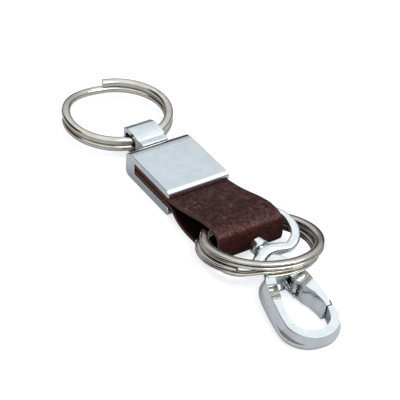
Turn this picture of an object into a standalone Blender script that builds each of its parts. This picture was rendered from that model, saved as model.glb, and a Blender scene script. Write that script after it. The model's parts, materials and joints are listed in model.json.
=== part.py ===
"""Key ring: a split ring in a swivelling bail, a polished clamp that grips a folded leather
loop, and in the loop two split rings and a snap clasp with an inward opening gate.

The clamp lies flat on the ground with its underside centred on the origin. +Y points to the
big split ring, -Y to the clasp and +Z up. Sizes below are in millimetres and degrees.
"""

import math

import bmesh
import bpy
import numpy as np
from mathutils import Matrix, Vector

MM = 0.001
GAP = 0.3

# Clamp: a U of cast metal, open towards -Y and at both sides
CLAMP_LENGTH = 22.4
LOWER_JAW = 2.6
UPPER_JAW = 2.0
CLAMP_HEAD = 4.4
CLAMP_REAR_BEVEL = 0.9
CLAMP_REAR_ROUND = 1.8
JAW_TIP_ROUND = 1.1
CLAMP_EDGE = 0.22

# Leather strap, folded over so that both ends lie in the clamp
LEATHER = 1.2
LEATHER_WIDTH = 19.0
CLAMP_OVERHANG = 0.1
LAYER_GAP = 0.3
SLOT_GAP = 0.25
LOOP_HEIGHT = 10.4
LOOP_REACH = 25.0

# Pin that fixes the strap in the clamp from below
STRAP_PIN_RADIUS = 1.0
STRAP_PIN_BACK = 7.0
STRAP_PIN_DEPTH = 1.1

# Bail: a small cast eye on a post, which swivels behind the clamp
BAIL_WIDTH = 8.7
BAIL_WALL = 1.0
BAIL_HOLE_LENGTH = 5.6
BAIL_HOLE_HEIGHT = 5.5
BAIL_NECK = 2.4
BAIL_NECK_WIDTH = 8.0
BAIL_TOP_SLOPE = 2.0
BAIL_EDGE = 0.25
WIRE_PLACE = 0.42
WIRE_DROP = 0.2
POST_RADIUS = 1.1
POST_HEAD_RADIUS = 1.42
POST_HEAD = 1.3
POST_FIT = 0.1

# Split rings: flat wire wound in two turns, one on the other
MAIN_RING_RADIUS = 15.9
LOOP_RING_RADIUS = 16.0
TURN_GAP = 0.44
MAIN_WIRE_WIDTH = 2.5
MAIN_WIRE_HEIGHT = 1.88
MAIN_START = 156.0
MAIN_RAMP = 80.0
MAIN_TILT = 0.2
MAIN_YAW = 1.0
LOOP_WIRE_WIDTH = 2.4
LOOP_WIRE_HEIGHT = 0.84
LOOP_RING_RAMP = 30.0
UPPER_START = 100.0
LOWER_START = -115.0
RING_STEP = 10.0
LOOP_RING_PITCH = -11.4
LOOP_RING_ROLL = 5.6
STACK_GAP = 0.15
RING_SEAT = 0.6
STACK_ASIDE = 0.8
STACK_AHEAD = 0.8
LOWER_RING_ASIDE = -0.4
LOOP_RING_OFFSET = 3.6

# Clasp: frames of its eye and of its hook, whose common point is the swivel
SWIVEL_AHEAD = 7.7
SWIVEL_ASIDE = 0.75
SWIVEL_HEIGHT = 5.7
EYE_YAW = -2.5
EYE_PITCH = -0.7
EYE_ROLL = 13.6
HOOK_YAW = 8.7
HOOK_PITCH = 6.5

# Clasp eye: a wide D whose straight bar lies in the leather loop
EYE_SIDE_GAP = 1.05
EYE_DEPTH = 13.0
EYE_BAND = 2.0
EYE_FRONT_BAND = 2.7
EYE_HEIGHT = 1.6
EYE_ARCH = 1.6
EYE_FOOT = 0.65
BOSS_RADIUS = 2.2
BOSS_FRONT = 0.5
BOSS_BACK = 3.2

# Swivel rivet, headed inside the eye and fixed in the hook's neck
RIVET_RADIUS = 0.9
RIVET_HEAD_RADIUS = 2.25
RIVET_HEAD = 2.1
RIVET_GRIP = 5.0
RIVET_PLAY = 0.3
RIVET_FIT = 0.15

# Hook of the clasp: half widths of its top face at distances ahead of the swivel
HOOK_START = 1.5
NECK_RADIUS = 3.0
NECK_BOTTOM = 2.8
SHOULDER_AHEAD = 10.2
SHOULDER_HALF_WIDTH = 6.0
HOOK_HALF_WIDTH = 7.15
HOOK_TIP_AHEAD = 30.7
HOOK_TOP = 1.95
HOOK_BOTTOM = 4.0
TIP_BOTTOM = 1.9
SIDE_BULGE = 1.45
GATE_SIDE_BULGE = 0.7
TIP_BULGE = 0.3
ARM_WIDTH = 2.0
TIP_WIDTH = 2.5
ARM_ROOT_WIDTH = 2.9
OPENING_START = 10.8

# Gate of the clasp, its pin and its spring
PIVOT_ASIDE = 2.4
PIVOT_AHEAD = 10.5
GATE_KNUCKLE = 2.3
GATE_ROOT_ANGLE = -135.0
GATE_RADIAL_GAP = 0.3
GATE_TIP_AHEAD = 21.6
GATE_TIP_ASIDE = 6.4
GATE_TIP_WIDTH = 1.1
GATE_LAP_SLOPE = 0.1
GATE_LEAN = 0.2
POCKET_TOP = 0.9
POCKET_BOTTOM = 3.0
POCKET_ASIDE = 1.6
POCKET_AHEAD = 2.3
HEAD_POCKET_ASIDE = 2.5
TONGUE_ROOT = 0.8
TONGUE_RADIUS = 1.05
TONGUE_BOTTOM = 2.7
TONGUE_TOP = 1.9
BARREL_RADIUS = 0.85
BARREL_TOP = 0.6
PIN_RADIUS = 0.4
PIN_FIT = 0.13
PIN_TOP = 1.4
SPRING_WIRE = 0.32
SPRING_RADIUS = 1.2
SPRING_TURN = 0.78
SPRING_TURNS = 2.2
SPRING_LEG = 1.1
GATE_OPEN = 25.0

# Sizes that follow from those above
SLOT_HEIGHT = 2 * LEATHER + LAYER_GAP + 2 * SLOT_GAP
CLAMP_HEIGHT = LOWER_JAW + SLOT_HEIGHT + UPPER_JAW
CLAMP_WIDTH = LEATHER_WIDTH + 2 * CLAMP_OVERHANG
CLAMP_MOUTH = -CLAMP_LENGTH / 2
CLAMP_REAR = CLAMP_LENGTH / 2
SLOT_END = CLAMP_REAR - CLAMP_HEAD
LOWER_LAYER = LOWER_JAW + SLOT_GAP + LEATHER / 2
UPPER_LAYER = LOWER_LAYER + LEATHER + LAYER_GAP
LOOP_FRONT = CLAMP_MOUTH - LOOP_REACH
POST_HEIGHT = LOWER_JAW + SLOT_HEIGHT / 2


def metal(name, colour, roughness):
    """Polished plated metal."""
    material = bpy.data.materials.new(name)
    material.use_nodes = True
    shader = material.node_tree.nodes["Principled BSDF"]
    shader.inputs["Base Color"].default_value = (*colour, 1.0)
    shader.inputs["Roughness"].default_value = roughness
    shader.inputs["Metallic"].default_value = 1.0
    return material


def leather(name, colour):
    """Dark brown pebbled leather."""
    material = bpy.data.materials.new(name)
    material.use_nodes = True
    shader = material.node_tree.nodes["Principled BSDF"]
    shader.inputs["Base Color"].default_value = (*colour, 1.0)
    shader.inputs["Roughness"].default_value = 0.62
    return material


def add_empty(name, matrix, parent=None):
    """A frame that carries pieces. Its matrix is relative to its parent, in millimetres."""
    empty = bpy.data.objects.new(name, None)
    bpy.context.scene.collection.objects.link(empty)
    place(empty, matrix, parent)
    return empty


def place(obj, matrix, parent):
    obj.parent = parent
    location, rotation, _ = matrix.decompose()
    obj.location = location * MM
    obj.rotation_euler = rotation.to_euler()


def add_object(name, bm, material=None, matrix=None, parent=None, smooth=35.0):
    """Turns a bmesh, in millimetres, into an object with its faces pointing outwards."""
    bmesh.ops.recalc_face_normals(bm, faces=bm.faces)
    bmesh.ops.scale(bm, vec=(MM, MM, MM), verts=bm.verts)
    mesh = bpy.data.meshes.new(name)
    bm.to_mesh(mesh)
    bm.free()
    mesh.shade_smooth()
    mesh.set_sharp_from_angle(angle=math.radians(smooth))
    obj = bpy.data.objects.new(name, mesh)
    bpy.context.scene.collection.objects.link(obj)
    place(obj, matrix or Matrix.Identity(4), parent)
    if material:
        mesh.materials.append(material)
    else:
        obj.hide_render = True
        obj.display_type = "WIRE"
    return obj


def boolean(obj, other, operation):
    modifier = obj.modifiers.new(other.name, "BOOLEAN")
    modifier.operation = operation
    modifier.solver = "EXACT"
    modifier.object = other


def add_bevel(obj, width, segments=2, angle=40.0):
    modifier = obj.modifiers.new("Edge", "BEVEL")
    modifier.width = width * MM
    modifier.segments = segments
    modifier.limit_method = "ANGLE"
    modifier.angle_limit = math.radians(angle)
    modifier.use_clamp_overlap = True


def bridge(bm, first, second):
    count = len(first)
    for i in range(count):
        j = (i + 1) % count
        bm.faces.new((first[i], first[j], second[j], second[i]))


def loft(sections, closed=False):
    """A solid through sections of equal point counts, with end faces unless it is closed."""
    bm = bmesh.new()
    rings = [[bm.verts.new(point) for point in section] for section in sections]
    for first, second in zip(rings, rings[1:]):
        bridge(bm, first, second)
    if closed:
        bridge(bm, rings[-1], rings[0])
    else:
        bm.faces.new(rings[0])
        bm.faces.new(rings[-1])
    return bm


def prism(outline, axis, low, high):
    """An outline of 2D points, extruded along an axis: 0 for X, 1 for Y and 2 for Z."""
    sections = []
    for level in (low, high):
        sections.append([Vector(point[:axis] + (level,) + point[axis:]) for point in outline])
    return loft(sections)


def box(low, high):
    outline = [(low[0], low[1]), (high[0], low[1]), (high[0], high[1]), (low[0], high[1])]
    return prism(outline, 2, low[2], high[2])


def arc(centre, radius, start, end, count):
    """Points of an arc in two dimensions, angles in degrees."""
    points = []
    for i in range(count + 1):
        angle = math.radians(start + (end - start) * i / count)
        points.append((centre[0] + radius * math.cos(angle), centre[1] + radius * math.sin(angle)))
    return points


def cylinder(axis, centre, radius, low, high, count=24):
    """centre holds the two coordinates across the axis."""
    return prism(arc(centre, radius, 0, 360 - 360 / count, count - 1), axis, low, high)


def smooth_path(points, steps):
    """Points of a Catmull-Rom curve through the given ones."""
    knots = [Vector(point) for point in points]
    knots = [2 * knots[0] - knots[1], *knots, 2 * knots[-1] - knots[-2]]
    path = []
    for a, b, c, d in zip(knots, knots[1:], knots[2:], knots[3:]):
        for i in range(steps):
            t = i / steps
            cubic = (3 * b - a - 3 * c + d) * t**3
            square = (2 * a - 5 * b + 4 * c - d) * t**2
            path.append(0.5 * (2 * b + (c - a) * t + square + cubic))
    path.append(knots[-2])
    return path


def ease(value):
    value = min(max(value, 0.0), 1.0)
    return value * value * (3 - 2 * value)


def least_gap(sections, apart):
    """The least distance between points of a tube whose sections lie more than `apart` apart."""
    points = np.array([[tuple(point) for point in section] for section in sections])
    middles = points.mean(axis=1)
    along = np.concatenate([[0], np.cumsum(np.linalg.norm(np.diff(middles, axis=0), axis=1))])
    least = math.inf
    for i, position in enumerate(along):
        far = points[along > position + apart]
        if len(far):
            offsets = far[:, :, None, :] - points[i][None, None, :, :]
            least = min(least, float(np.linalg.norm(offsets, axis=-1).min()))
    return least


def wire_section(width, height):
    """Flat wire with rounded edges, as across and up coordinates."""
    edge = 0.3 * height
    across, up = width / 2, height / 2
    corners = [(across, up - edge), (across - edge, up)]
    corners += [(-x, y) for x, y in reversed(corners)]
    return corners + [(-x, -y) for x, y in corners]


def split_ring_sections(radius, width, height, start, ramp):
    """Two turns of flat wire about Z: the lower turn begins at the start angle and climbs to
    the upper one in the ramp before it comes round again."""
    rise = height + TURN_GAP
    middle = radius - width / 2
    sections = []
    for i in range(round((720 - ramp) / RING_STEP) + 1):
        turned = i * RING_STEP
        level = ease((turned - 360 + ramp) / ramp)
        angle = math.radians(start + turned)
        outward = Vector((math.cos(angle), math.sin(angle), 0))
        centre = outward * middle + Vector((0, 0, rise * (level - 0.5)))
        section = wire_section(width, height)
        sections.append([centre + outward * x + Vector((0, 0, z)) for x, z in section])
    return sections


def add_split_ring(name, radius, width, height, start, ramp, material, matrix, parent):
    sections = split_ring_sections(radius, width, height, start, ramp)
    print(f"{name}: least gap to itself {least_gap(sections, radius):.3f} mm")
    return add_object(name, loft(sections), material, matrix, parent)


def add_clamp(nickel):
    top = CLAMP_HEIGHT
    slot_top = LOWER_JAW + SLOT_HEIGHT
    outline = [
        (CLAMP_MOUTH, top),
        (CLAMP_MOUTH, slot_top),
        (SLOT_END, slot_top),
        (SLOT_END, LOWER_JAW),
    ]
    tip = (CLAMP_MOUTH + JAW_TIP_ROUND, LOWER_JAW - JAW_TIP_ROUND)
    outline += arc(tip, JAW_TIP_ROUND, 90, 180, 4)
    outline += arc((tip[0], JAW_TIP_ROUND), JAW_TIP_ROUND, 180, 270, 4)
    corner = (CLAMP_REAR - CLAMP_REAR_ROUND, CLAMP_REAR_ROUND)
    outline += arc(corner, CLAMP_REAR_ROUND, 270, 360, 5)
    outline += [(CLAMP_REAR, top - CLAMP_REAR_BEVEL), (CLAMP_REAR - CLAMP_REAR_BEVEL, top)]
    half = CLAMP_WIDTH / 2
    clamp = add_object("clamp_body", prism(outline, 0, -half, half), nickel)
    add_bevel(clamp, CLAMP_EDGE)
    centre = (0.0, POST_HEIGHT)
    bore = cylinder(1, centre, POST_RADIUS + POST_FIT, SLOT_END, CLAMP_REAR + 1)
    boolean(clamp, add_object("post_bore", bore), "DIFFERENCE")
    seat_end = SLOT_END + POST_HEAD + GAP
    seat = cylinder(1, centre, POST_HEAD_RADIUS + POST_FIT, SLOT_END - 0.5, seat_end)
    boolean(clamp, add_object("post_seat", seat), "DIFFERENCE")
    pin = (0.0, CLAMP_MOUTH + STRAP_PIN_BACK)
    hole_top = slot_top + STRAP_PIN_DEPTH + GAP
    hole = cylinder(2, pin, STRAP_PIN_RADIUS + GAP, -1.0, hole_top)
    boolean(clamp, add_object("strap_pin_hole", hole), "DIFFERENCE")
    return clamp


def strap_route():
    """Middle line of the leather in Y and Z, from its upper end round the loop to its lower."""
    start = SLOT_END - GAP
    mouth = CLAMP_MOUTH
    crest = LOOP_HEIGHT - LEATHER / 2
    floor = LEATHER / 2
    front = LOOP_FRONT + LEATHER / 2
    rise = crest - UPPER_LAYER
    upper = [(start, UPPER_LAYER), ((start + mouth) / 2, UPPER_LAYER), (mouth + 1.2, UPPER_LAYER)]
    slope = [(0.115, 0.15), (0.28, 0.38), (0.44, 0.62), (0.6, 0.86), (0.72, 0.98)]
    upper += [(mouth - LOOP_REACH * run, UPPER_LAYER + rise * climb) for run, climb in slope]
    bend = [(5.4, 1.0), (3.5, 0.93), (1.5, 0.75), (0.25, 0.53), (0.1, 0.32), (1.1, 0.14)]
    upper += [(front + inwards, floor + (crest - floor) * level) for inwards, level in bend]
    lower = [(front + 3.6, floor + 0.25), (front + 6.5, floor), (front + 11.0, floor)]
    lower += [(mouth - 8.2, floor), (mouth - 4.6, floor + 0.75), (mouth - 1.9, LOWER_LAYER - 0.55)]
    lower += [(mouth + 0.6, LOWER_LAYER), ((start + mouth) / 2, LOWER_LAYER), (start, LOWER_LAYER)]
    return upper + lower


def add_strap(hide):
    path = smooth_path([(y, z) for y, z in strap_route()], 3)
    half, thick = LEATHER_WIDTH / 2, LEATHER / 2
    edge = 0.35 * thick
    corners = [(half, thick - edge), (half - edge, thick)]
    corners += [(-x, z) for x, z in reversed(corners)]
    corners += [(-x, -z) for x, z in corners]
    sections = []
    for i, point in enumerate(path):
        before, after = path[max(i - 1, 0)], path[min(i + 1, len(path) - 1)]
        along = (after - before).normalized()
        out = Vector((-along.y, along.x)) * -1
        section = []
        for x, z in corners:
            at = point + out * z
            section.append(Vector((x, at.x, at.y)))
        sections.append(section)
    strap = add_object("leather_strap", loft(sections), hide)
    pin = (0.0, CLAMP_MOUTH + STRAP_PIN_BACK)
    hole = cylinder(2, pin, STRAP_PIN_RADIUS + GAP, LOWER_JAW, LOWER_JAW + SLOT_HEIGHT)
    boolean(strap, add_object("strap_pin_holes", hole), "DIFFERENCE")
    return strap


def add_strap_pin(nickel):
    pin = (0.0, CLAMP_MOUTH + STRAP_PIN_BACK)
    top = LOWER_JAW + SLOT_HEIGHT + STRAP_PIN_DEPTH
    return add_object("strap_pin", cylinder(2, pin, STRAP_PIN_RADIUS, GAP, top), nickel)


def bail_hole_start():
    return CLAMP_REAR + GAP + BAIL_NECK + BAIL_WALL


def add_bail(nickel, parent):
    """The bail in its post's frame, whose Y axis is the swivel and whose zero is the clamp."""
    neck = GAP
    front = neck + BAIL_NECK
    back = front + 2 * BAIL_WALL + BAIL_HOLE_LENGTH
    up = BAIL_HOLE_HEIGHT / 2 + BAIL_WALL - 0.25
    slope = BAIL_TOP_SLOPE
    outline = [
        (front, 0.15 - up),
        (back - slope, -up),
        (back - 0.3 * slope, 0.6 - up),
        (back, 1.6 - up),
        (back, up - 0.55 * slope),
        (back - slope, up),
        (front, up - 0.35),
    ]
    half = BAIL_WIDTH / 2
    bail = add_object("bail", prism(outline, 0, -half, half), nickel, parent=parent)
    half_neck = BAIL_NECK_WIDTH / 2
    block = box((-half_neck, neck, 0.9 - up), (half_neck, front + 0.5, up - 0.6))
    boolean(bail, add_object("bail_neck", block, parent=parent), "UNION")
    hole_start = front + BAIL_WALL
    hole = [
        (hole_start, -BAIL_HOLE_HEIGHT / 2),
        (hole_start + BAIL_HOLE_LENGTH, -BAIL_HOLE_HEIGHT / 2),
        (hole_start + BAIL_HOLE_LENGTH, BAIL_HOLE_HEIGHT / 2 - 0.5 * slope),
        (hole_start + BAIL_HOLE_LENGTH - 0.5 * slope, BAIL_HOLE_HEIGHT / 2 - 0.1),
        (hole_start, BAIL_HOLE_HEIGHT / 2 - 0.3),
    ]
    window = prism(hole, 0, -half - 1, half + 1)
    boolean(bail, add_object("bail_window", window, parent=parent), "DIFFERENCE")
    socket = cylinder(1, (0.0, 0.0), POST_RADIUS + POST_FIT, neck - 1, hole_start - 0.4)
    boolean(bail, add_object("bail_socket", socket, parent=parent), "DIFFERENCE")
    add_bevel(bail, BAIL_EDGE)
    return bail


def add_bail_post(nickel, parent):
    """A headed post, put in from the clamp's slot, whose end is fixed in the bail's neck."""
    head_start = SLOT_END + 0.1 - CLAMP_REAR
    head_end = head_start + POST_HEAD
    end = GAP + BAIL_NECK + BAIL_WALL - 0.6
    head = cylinder(1, (0.0, 0.0), POST_HEAD_RADIUS, head_start, head_end)
    post = add_object("bail_post", head, nickel, parent=parent)
    shank = cylinder(1, (0.0, 0.0), POST_RADIUS, head_end - 0.3, end)
    boolean(post, add_object("bail_post_shank", shank, parent=parent), "UNION")
    return post


def ring_tilt(pitch, roll):
    return Matrix.Rotation(math.radians(roll), 4, "Y") @ Matrix.Rotation(math.radians(pitch), 4, "X")


def loop_ring_matrices():
    """Places of the two rings in the loop: parallel, the upper one lying on the lower."""
    tilt = ring_tilt(LOOP_RING_PITCH, LOOP_RING_ROLL)
    stack = 2 * LOOP_WIRE_HEIGHT + TURN_GAP
    reach = Vector((0.5 * LOOP_RING_RADIUS, 0.87 * LOOP_RING_RADIUS, -stack / 2))
    low = (tilt @ reach).z
    lower = Vector((LOWER_RING_ASIDE, LOOP_FRONT - LOOP_RING_OFFSET, LEATHER + RING_SEAT - low))
    normal = tilt @ Vector((0, 0, 1))
    upper = lower + normal * (stack + STACK_GAP)
    upper += tilt @ Vector((STACK_ASIDE, -STACK_AHEAD, 0))
    return Matrix.Translation(upper) @ tilt, Matrix.Translation(lower) @ tilt


def frame_matrix(origin, yaw, pitch, roll):
    """A frame whose Y axis points back to the clamp, turned in plan, then tipped, then rolled."""
    turn = Matrix.Rotation(math.radians(-yaw), 4, "Z")
    tip = Matrix.Rotation(math.radians(pitch), 4, "X")
    return Matrix.Translation(origin) @ turn @ tip @ Matrix.Rotation(math.radians(-roll), 4, "Y")


def swivel_point():
    return Vector((SWIVEL_ASIDE, LOOP_FRONT - SWIVEL_AHEAD, SWIVEL_HEIGHT))


def eye_half_width():
    """Half the width of the D along the middle of its band."""
    return LEATHER_WIDTH / 2 + EYE_SIDE_GAP + EYE_BAND / 2


def add_eye(nickel, parent):
    """The eye in the swivel's frame: X across, +Y to the bar that lies in the leather. Its front
    arches back over the hook's neck."""
    wide, deep = eye_half_width(), EYE_DEPTH
    front = EYE_FRONT_BAND
    side = [
        (0.0, EYE_ARCH - EYE_FOOT, front),
        (0.19 * wide, 0.6 * EYE_ARCH - EYE_FOOT, front),
        (0.38 * wide, -EYE_FOOT, front),
        (0.62 * wide, 0.05 * deep - EYE_FOOT, front),
        (0.82 * wide, 0.17 * deep - EYE_FOOT, 0.92 * front),
        (0.94 * wide, 0.38 * deep - EYE_FOOT, 0.92 * front),
        (wide, 0.62 * deep, EYE_BAND),
        (0.97 * wide, 0.84 * deep, EYE_BAND),
        (0.86 * wide, 0.965 * deep, EYE_BAND),
        (0.66 * wide, deep, EYE_BAND),
    ]
    path = smooth_path(side, 2)
    path += [Vector((0.0, deep, EYE_BAND))]
    mirrored = [Vector((-point.x, point.y, point.z)) for point in path[1:-1]]
    path += list(reversed(mirrored))
    sections = []
    for i, point in enumerate(path):
        before, after = path[i - 1], path[(i + 1) % len(path)]
        along = Vector((after.x - before.x, after.y - before.y)).normalized()
        out = Vector((along.y, -along.x, 0))
        centre = Vector((point.x, point.y, 0))
        section = wire_section(point.z, EYE_HEIGHT)
        sections.append([centre + out * x + Vector((0, 0, z)) for x, z in section])
    eye = add_object("clasp_eye", loft(sections, closed=True), nickel, parent=parent)
    boss = cylinder(1, (0.0, 0.0), BOSS_RADIUS, -BOSS_FRONT, BOSS_BACK)
    boolean(eye, add_object("eye_boss", boss, parent=parent), "UNION")
    bore = cylinder(1, (0.0, 0.0), RIVET_RADIUS + RIVET_PLAY, -BOSS_FRONT - 3, BOSS_BACK + 3)
    boolean(eye, add_object("eye_bore", bore, parent=parent), "DIFFERENCE")
    return eye


def rivet_end():
    """Where the rivet's end lies in the hook's neck, along the swivel's axis."""
    return -HOOK_START - RIVET_GRIP


def add_rivet(nickel, parent):
    """The swivel rivet in the swivel's frame: its head lies inside the eye."""
    seat = BOSS_BACK + GAP
    top = seat + RIVET_HEAD
    round_edge = 0.25 * RIVET_HEAD
    profile = [(0.0, top), (RIVET_HEAD_RADIUS - round_edge, top)]
    profile += [(RIVET_HEAD_RADIUS, top - round_edge), (RIVET_HEAD_RADIUS, seat)]
    profile += [(RIVET_RADIUS, seat), (RIVET_RADIUS, rivet_end()), (0.0, rivet_end())]
    return add_object("swivel_rivet", turned(profile), nickel, parent=parent)


def turned(profile, count=16):
    """A profile of radius and Y, from the axis back to the axis, turned about Y."""
    bm = bmesh.new()
    rings = []
    for i in range(count):
        angle = 2 * math.pi * i / count
        across = Vector((math.cos(angle), 0, math.sin(angle)))
        rings.append([bm.verts.new(across * r + Vector((0, y, 0))) for r, y in profile[1:-1]])
    for i, ring in enumerate(rings):
        following = rings[(i + 1) % count]
        for a, b, c, d in zip(ring, ring[1:], following[1:], following):
            bm.faces.new((a, b, c, d))
    bm.faces.new([ring[0] for ring in rings])
    bm.faces.new([ring[-1] for ring in rings])
    return bm


def hook_outline():
    """Right half of the hook's top face, as distance aside and ahead of the swivel."""
    neck = HOOK_START + NECK_RADIUS
    centre = HOOK_TIP_AHEAD - HOOK_HALF_WIDTH
    points = arc((0.0, neck), NECK_RADIUS, -90, 0, 6)
    points += [(NECK_RADIUS + 0.2, neck + 1.4), (0.76 * SHOULDER_HALF_WIDTH, SHOULDER_AHEAD - 2.6)]
    points += [(SHOULDER_HALF_WIDTH - 0.35, SHOULDER_AHEAD - 1.0)]
    grown = HOOK_HALF_WIDTH - SHOULDER_HALF_WIDTH
    for share in (0.1, 0.3, 0.55, 0.8):
        ahead = SHOULDER_AHEAD + (centre - SHOULDER_AHEAD) * share
        points.append((SHOULDER_HALF_WIDTH + grown * math.sin(share * math.pi / 2), ahead))
    return points + arc((0.0, centre), HOOK_HALF_WIDTH, 0, 90, 10)


def hook_bottom(ahead):
    """Depth of the underside, which lies level although the top face slopes."""
    if ahead < SHOULDER_AHEAD:
        share = ease((ahead - SHOULDER_AHEAD / 2) / (SHOULDER_AHEAD / 2))
        return NECK_BOTTOM + (HOOK_BOTTOM - NECK_BOTTOM) * share
    share = (ahead - SHOULDER_AHEAD) / (HOOK_TIP_AHEAD - SHOULDER_AHEAD)
    return HOOK_BOTTOM + (TIP_BOTTOM - HOOK_BOTTOM) * share


def hook_blank():
    """The hook and its gate in one piece: the outline lofted through levels that bulge."""
    right = hook_outline()
    outline = right + [(-x, ahead) for x, ahead in reversed(right[1:-1])]
    count = len(outline)
    levels = [(1.0, 0.0), (0.5, 0.33), (0.0, 0.67), (-0.3, 0.96), (-0.65, 0.95), (-1.0, 0.6)]
    sections = []
    for level, bulge in levels:
        section = []
        for i, (x, ahead) in enumerate(outline):
            before, after = outline[i - 1], outline[(i + 1) % count]
            normal = Vector((after[1] - before[1], before[0] - after[0])).normalized()
            side = GATE_SIDE_BULGE if normal.x > 0 else SIDE_BULGE
            most = TIP_BULGE + (side - TIP_BULGE) * abs(normal.x)
            grown = most * bulge * (0.2 + 0.8 * ease((ahead - 5) / 4))
            height = level * (HOOK_TOP if level > 0 else hook_bottom(ahead))
            at = Vector((x, ahead)) + normal * grown
            section.append(Vector((at.x, -at.y, height)))
        sections.append(section)
    bm = loft(sections)
    bmesh.ops.triangulate(bm, faces=bm.faces)
    return bm


def plan_prism(outline, low, high):
    """A prism from an outline given as distance aside and ahead of the swivel."""
    return prism([(x, -ahead) for x, ahead in outline], 2, low, high)


def gate_outline(extra, lean):
    """Plan of the gate, grown by a gap where it meets the hook. Its inner side leans inwards."""
    knuckle = GATE_KNUCKLE + extra
    root = PIVOT_AHEAD - knuckle
    tip = GATE_TIP_AHEAD + extra
    outer = GATE_TIP_ASIDE + extra
    wide = HOOK_HALF_WIDTH + SIDE_BULGE + TIP_BULGE
    lap = outer + GATE_LAP_SLOPE * (tip - root)
    outline = [(outer, tip), (lap, PIVOT_AHEAD + 4.5), (wide, PIVOT_AHEAD + 3.0), (wide, root)]
    outline += [(PIVOT_ASIDE, root)]
    outline += arc((PIVOT_ASIDE, PIVOT_AHEAD), knuckle, -105, GATE_ROOT_ANGLE, 3)
    inner = GATE_TIP_ASIDE - GATE_TIP_WIDTH
    outline += [(PIVOT_ASIDE - 0.8 - extra, PIVOT_AHEAD + 0.5)]
    outline += [(PIVOT_ASIDE + 0.2 - extra - lean / 2, PIVOT_AHEAD + 1.9)]
    outline += [(0.86 * inner - lean, PIVOT_AHEAD + 5.9)]
    return outline + [(inner - lean, GATE_TIP_AHEAD - 1.6), (inner - lean, tip)]


def gate_space(extra):
    """The gate's plan as a solid that leans from its top face to below its underside."""
    sections = []
    for level in (-2 * HOOK_BOTTOM, 2 * HOOK_TOP):
        outline = gate_outline(extra, GATE_LEAN * (HOOK_TOP - level))
        sections.append([Vector((x, -ahead, level)) for x, ahead in outline])
    bm = loft(sections)
    bmesh.ops.triangulate(bm, faces=bm.faces)
    return bm


def hook_opening():
    """Plan of the space inside the hook, up to where the gate lies."""
    radius = HOOK_HALF_WIDTH - ARM_WIDTH
    centre = HOOK_TIP_AHEAD - TIP_WIDTH - radius
    left = [(-SHOULDER_HALF_WIDTH + ARM_ROOT_WIDTH, OPENING_START)]
    left += [(0.84 * -radius, PIVOT_AHEAD + 5.0), (-radius, PIVOT_AHEAD + 8.6)]
    right = arc((0.0, centre), radius, 180, 10, 14)
    inner = GATE_TIP_ASIDE - GATE_TIP_WIDTH
    back = [(inner + 0.4, GATE_TIP_AHEAD - 1.0), (PIVOT_ASIDE + 1.5, PIVOT_AHEAD + 2.5)]
    return left + right + back + [(PIVOT_ASIDE - 1.0, OPENING_START)]


def add_hook(nickel, parent, swivel):
    hook = add_object("clasp_hook", hook_blank(), nickel, parent=parent)
    far = HOOK_TOP + HOOK_BOTTOM
    pocket_low = (-HEAD_POCKET_ASIDE, -OPENING_START - 1, -POCKET_BOTTOM)
    pocket_high = (PIVOT_ASIDE, POCKET_AHEAD - PIVOT_AHEAD, POCKET_TOP)
    cutters = {
        "hook_opening": plan_prism(hook_opening(), -far, far),
        "gate_space": gate_space(GATE_RADIAL_GAP),
        "head_pocket": box(pocket_low, pocket_high),
    }
    for name, bm in cutters.items():
        boolean(hook, add_object(name, bm, parent=parent), "DIFFERENCE")
    bore = cylinder(1, (0.0, 0.0), RIVET_RADIUS + RIVET_FIT, rivet_end() - RIVET_FIT, HOOK_START)
    boolean(hook, add_object("rivet_bore", bore, parent=swivel), "DIFFERENCE")
    pivot = (PIVOT_ASIDE, -PIVOT_AHEAD)
    half = TONGUE_RADIUS
    tongue = arc((PIVOT_ASIDE, PIVOT_AHEAD), half, 0, 180, 10)
    start = PIVOT_AHEAD - GATE_KNUCKLE - GATE_RADIAL_GAP - TONGUE_ROOT
    tongue += [(PIVOT_ASIDE - half, start), (PIVOT_ASIDE + half, start)]
    web = plan_prism(tongue, -TONGUE_BOTTOM, -TONGUE_TOP)
    boolean(hook, add_object("gate_tongue", web, parent=parent), "UNION")
    barrel = cylinder(2, pivot, BARREL_RADIUS, -TONGUE_TOP - 0.3, BARREL_TOP)
    boolean(hook, add_object("gate_barrel", barrel, parent=parent), "UNION")
    hole = cylinder(2, pivot, PIN_RADIUS + PIN_FIT, -TONGUE_BOTTOM - 1, BARREL_TOP + 1)
    boolean(hook, add_object("tongue_hole", hole, parent=parent), "DIFFERENCE")
    return hook


def add_gate(nickel, pivot_frame):
    """The gate in its pivot's frame, cut from the same blank as the hook."""
    back = Matrix.Translation(Vector((-PIVOT_ASIDE, PIVOT_AHEAD, 0)))
    far = HOOK_TOP + HOOK_BOTTOM

    def moved(bm):
        bmesh.ops.transform(bm, matrix=back, verts=bm.verts)
        return bm

    gate = add_object("gate", moved(hook_blank()), nickel, parent=pivot_frame)
    plan = moved(gate_space(0.0))
    boolean(gate, add_object("gate_plan", plan, parent=pivot_frame), "INTERSECT")
    low = (-2 * GATE_KNUCKLE, -POCKET_AHEAD, -POCKET_BOTTOM)
    pocket = box(low, (POCKET_ASIDE, 2 * GATE_KNUCKLE, POCKET_TOP))
    boolean(gate, add_object("gate_pocket", pocket, parent=pivot_frame), "DIFFERENCE")
    hole = cylinder(2, (0.0, 0.0), PIN_RADIUS + PIN_FIT, -2 * far, PIN_TOP + PIN_FIT)
    boolean(gate, add_object("gate_pin_hole", hole, parent=pivot_frame), "DIFFERENCE")
    return gate


def add_gate_pin(steel, parent):
    low = GAP - hook_bottom(PIVOT_AHEAD)
    pin = cylinder(2, (PIVOT_ASIDE, -PIVOT_AHEAD), PIN_RADIUS, low, PIN_TOP, 16)
    return add_object("gate_pin", pin, steel, parent=parent)


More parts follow.
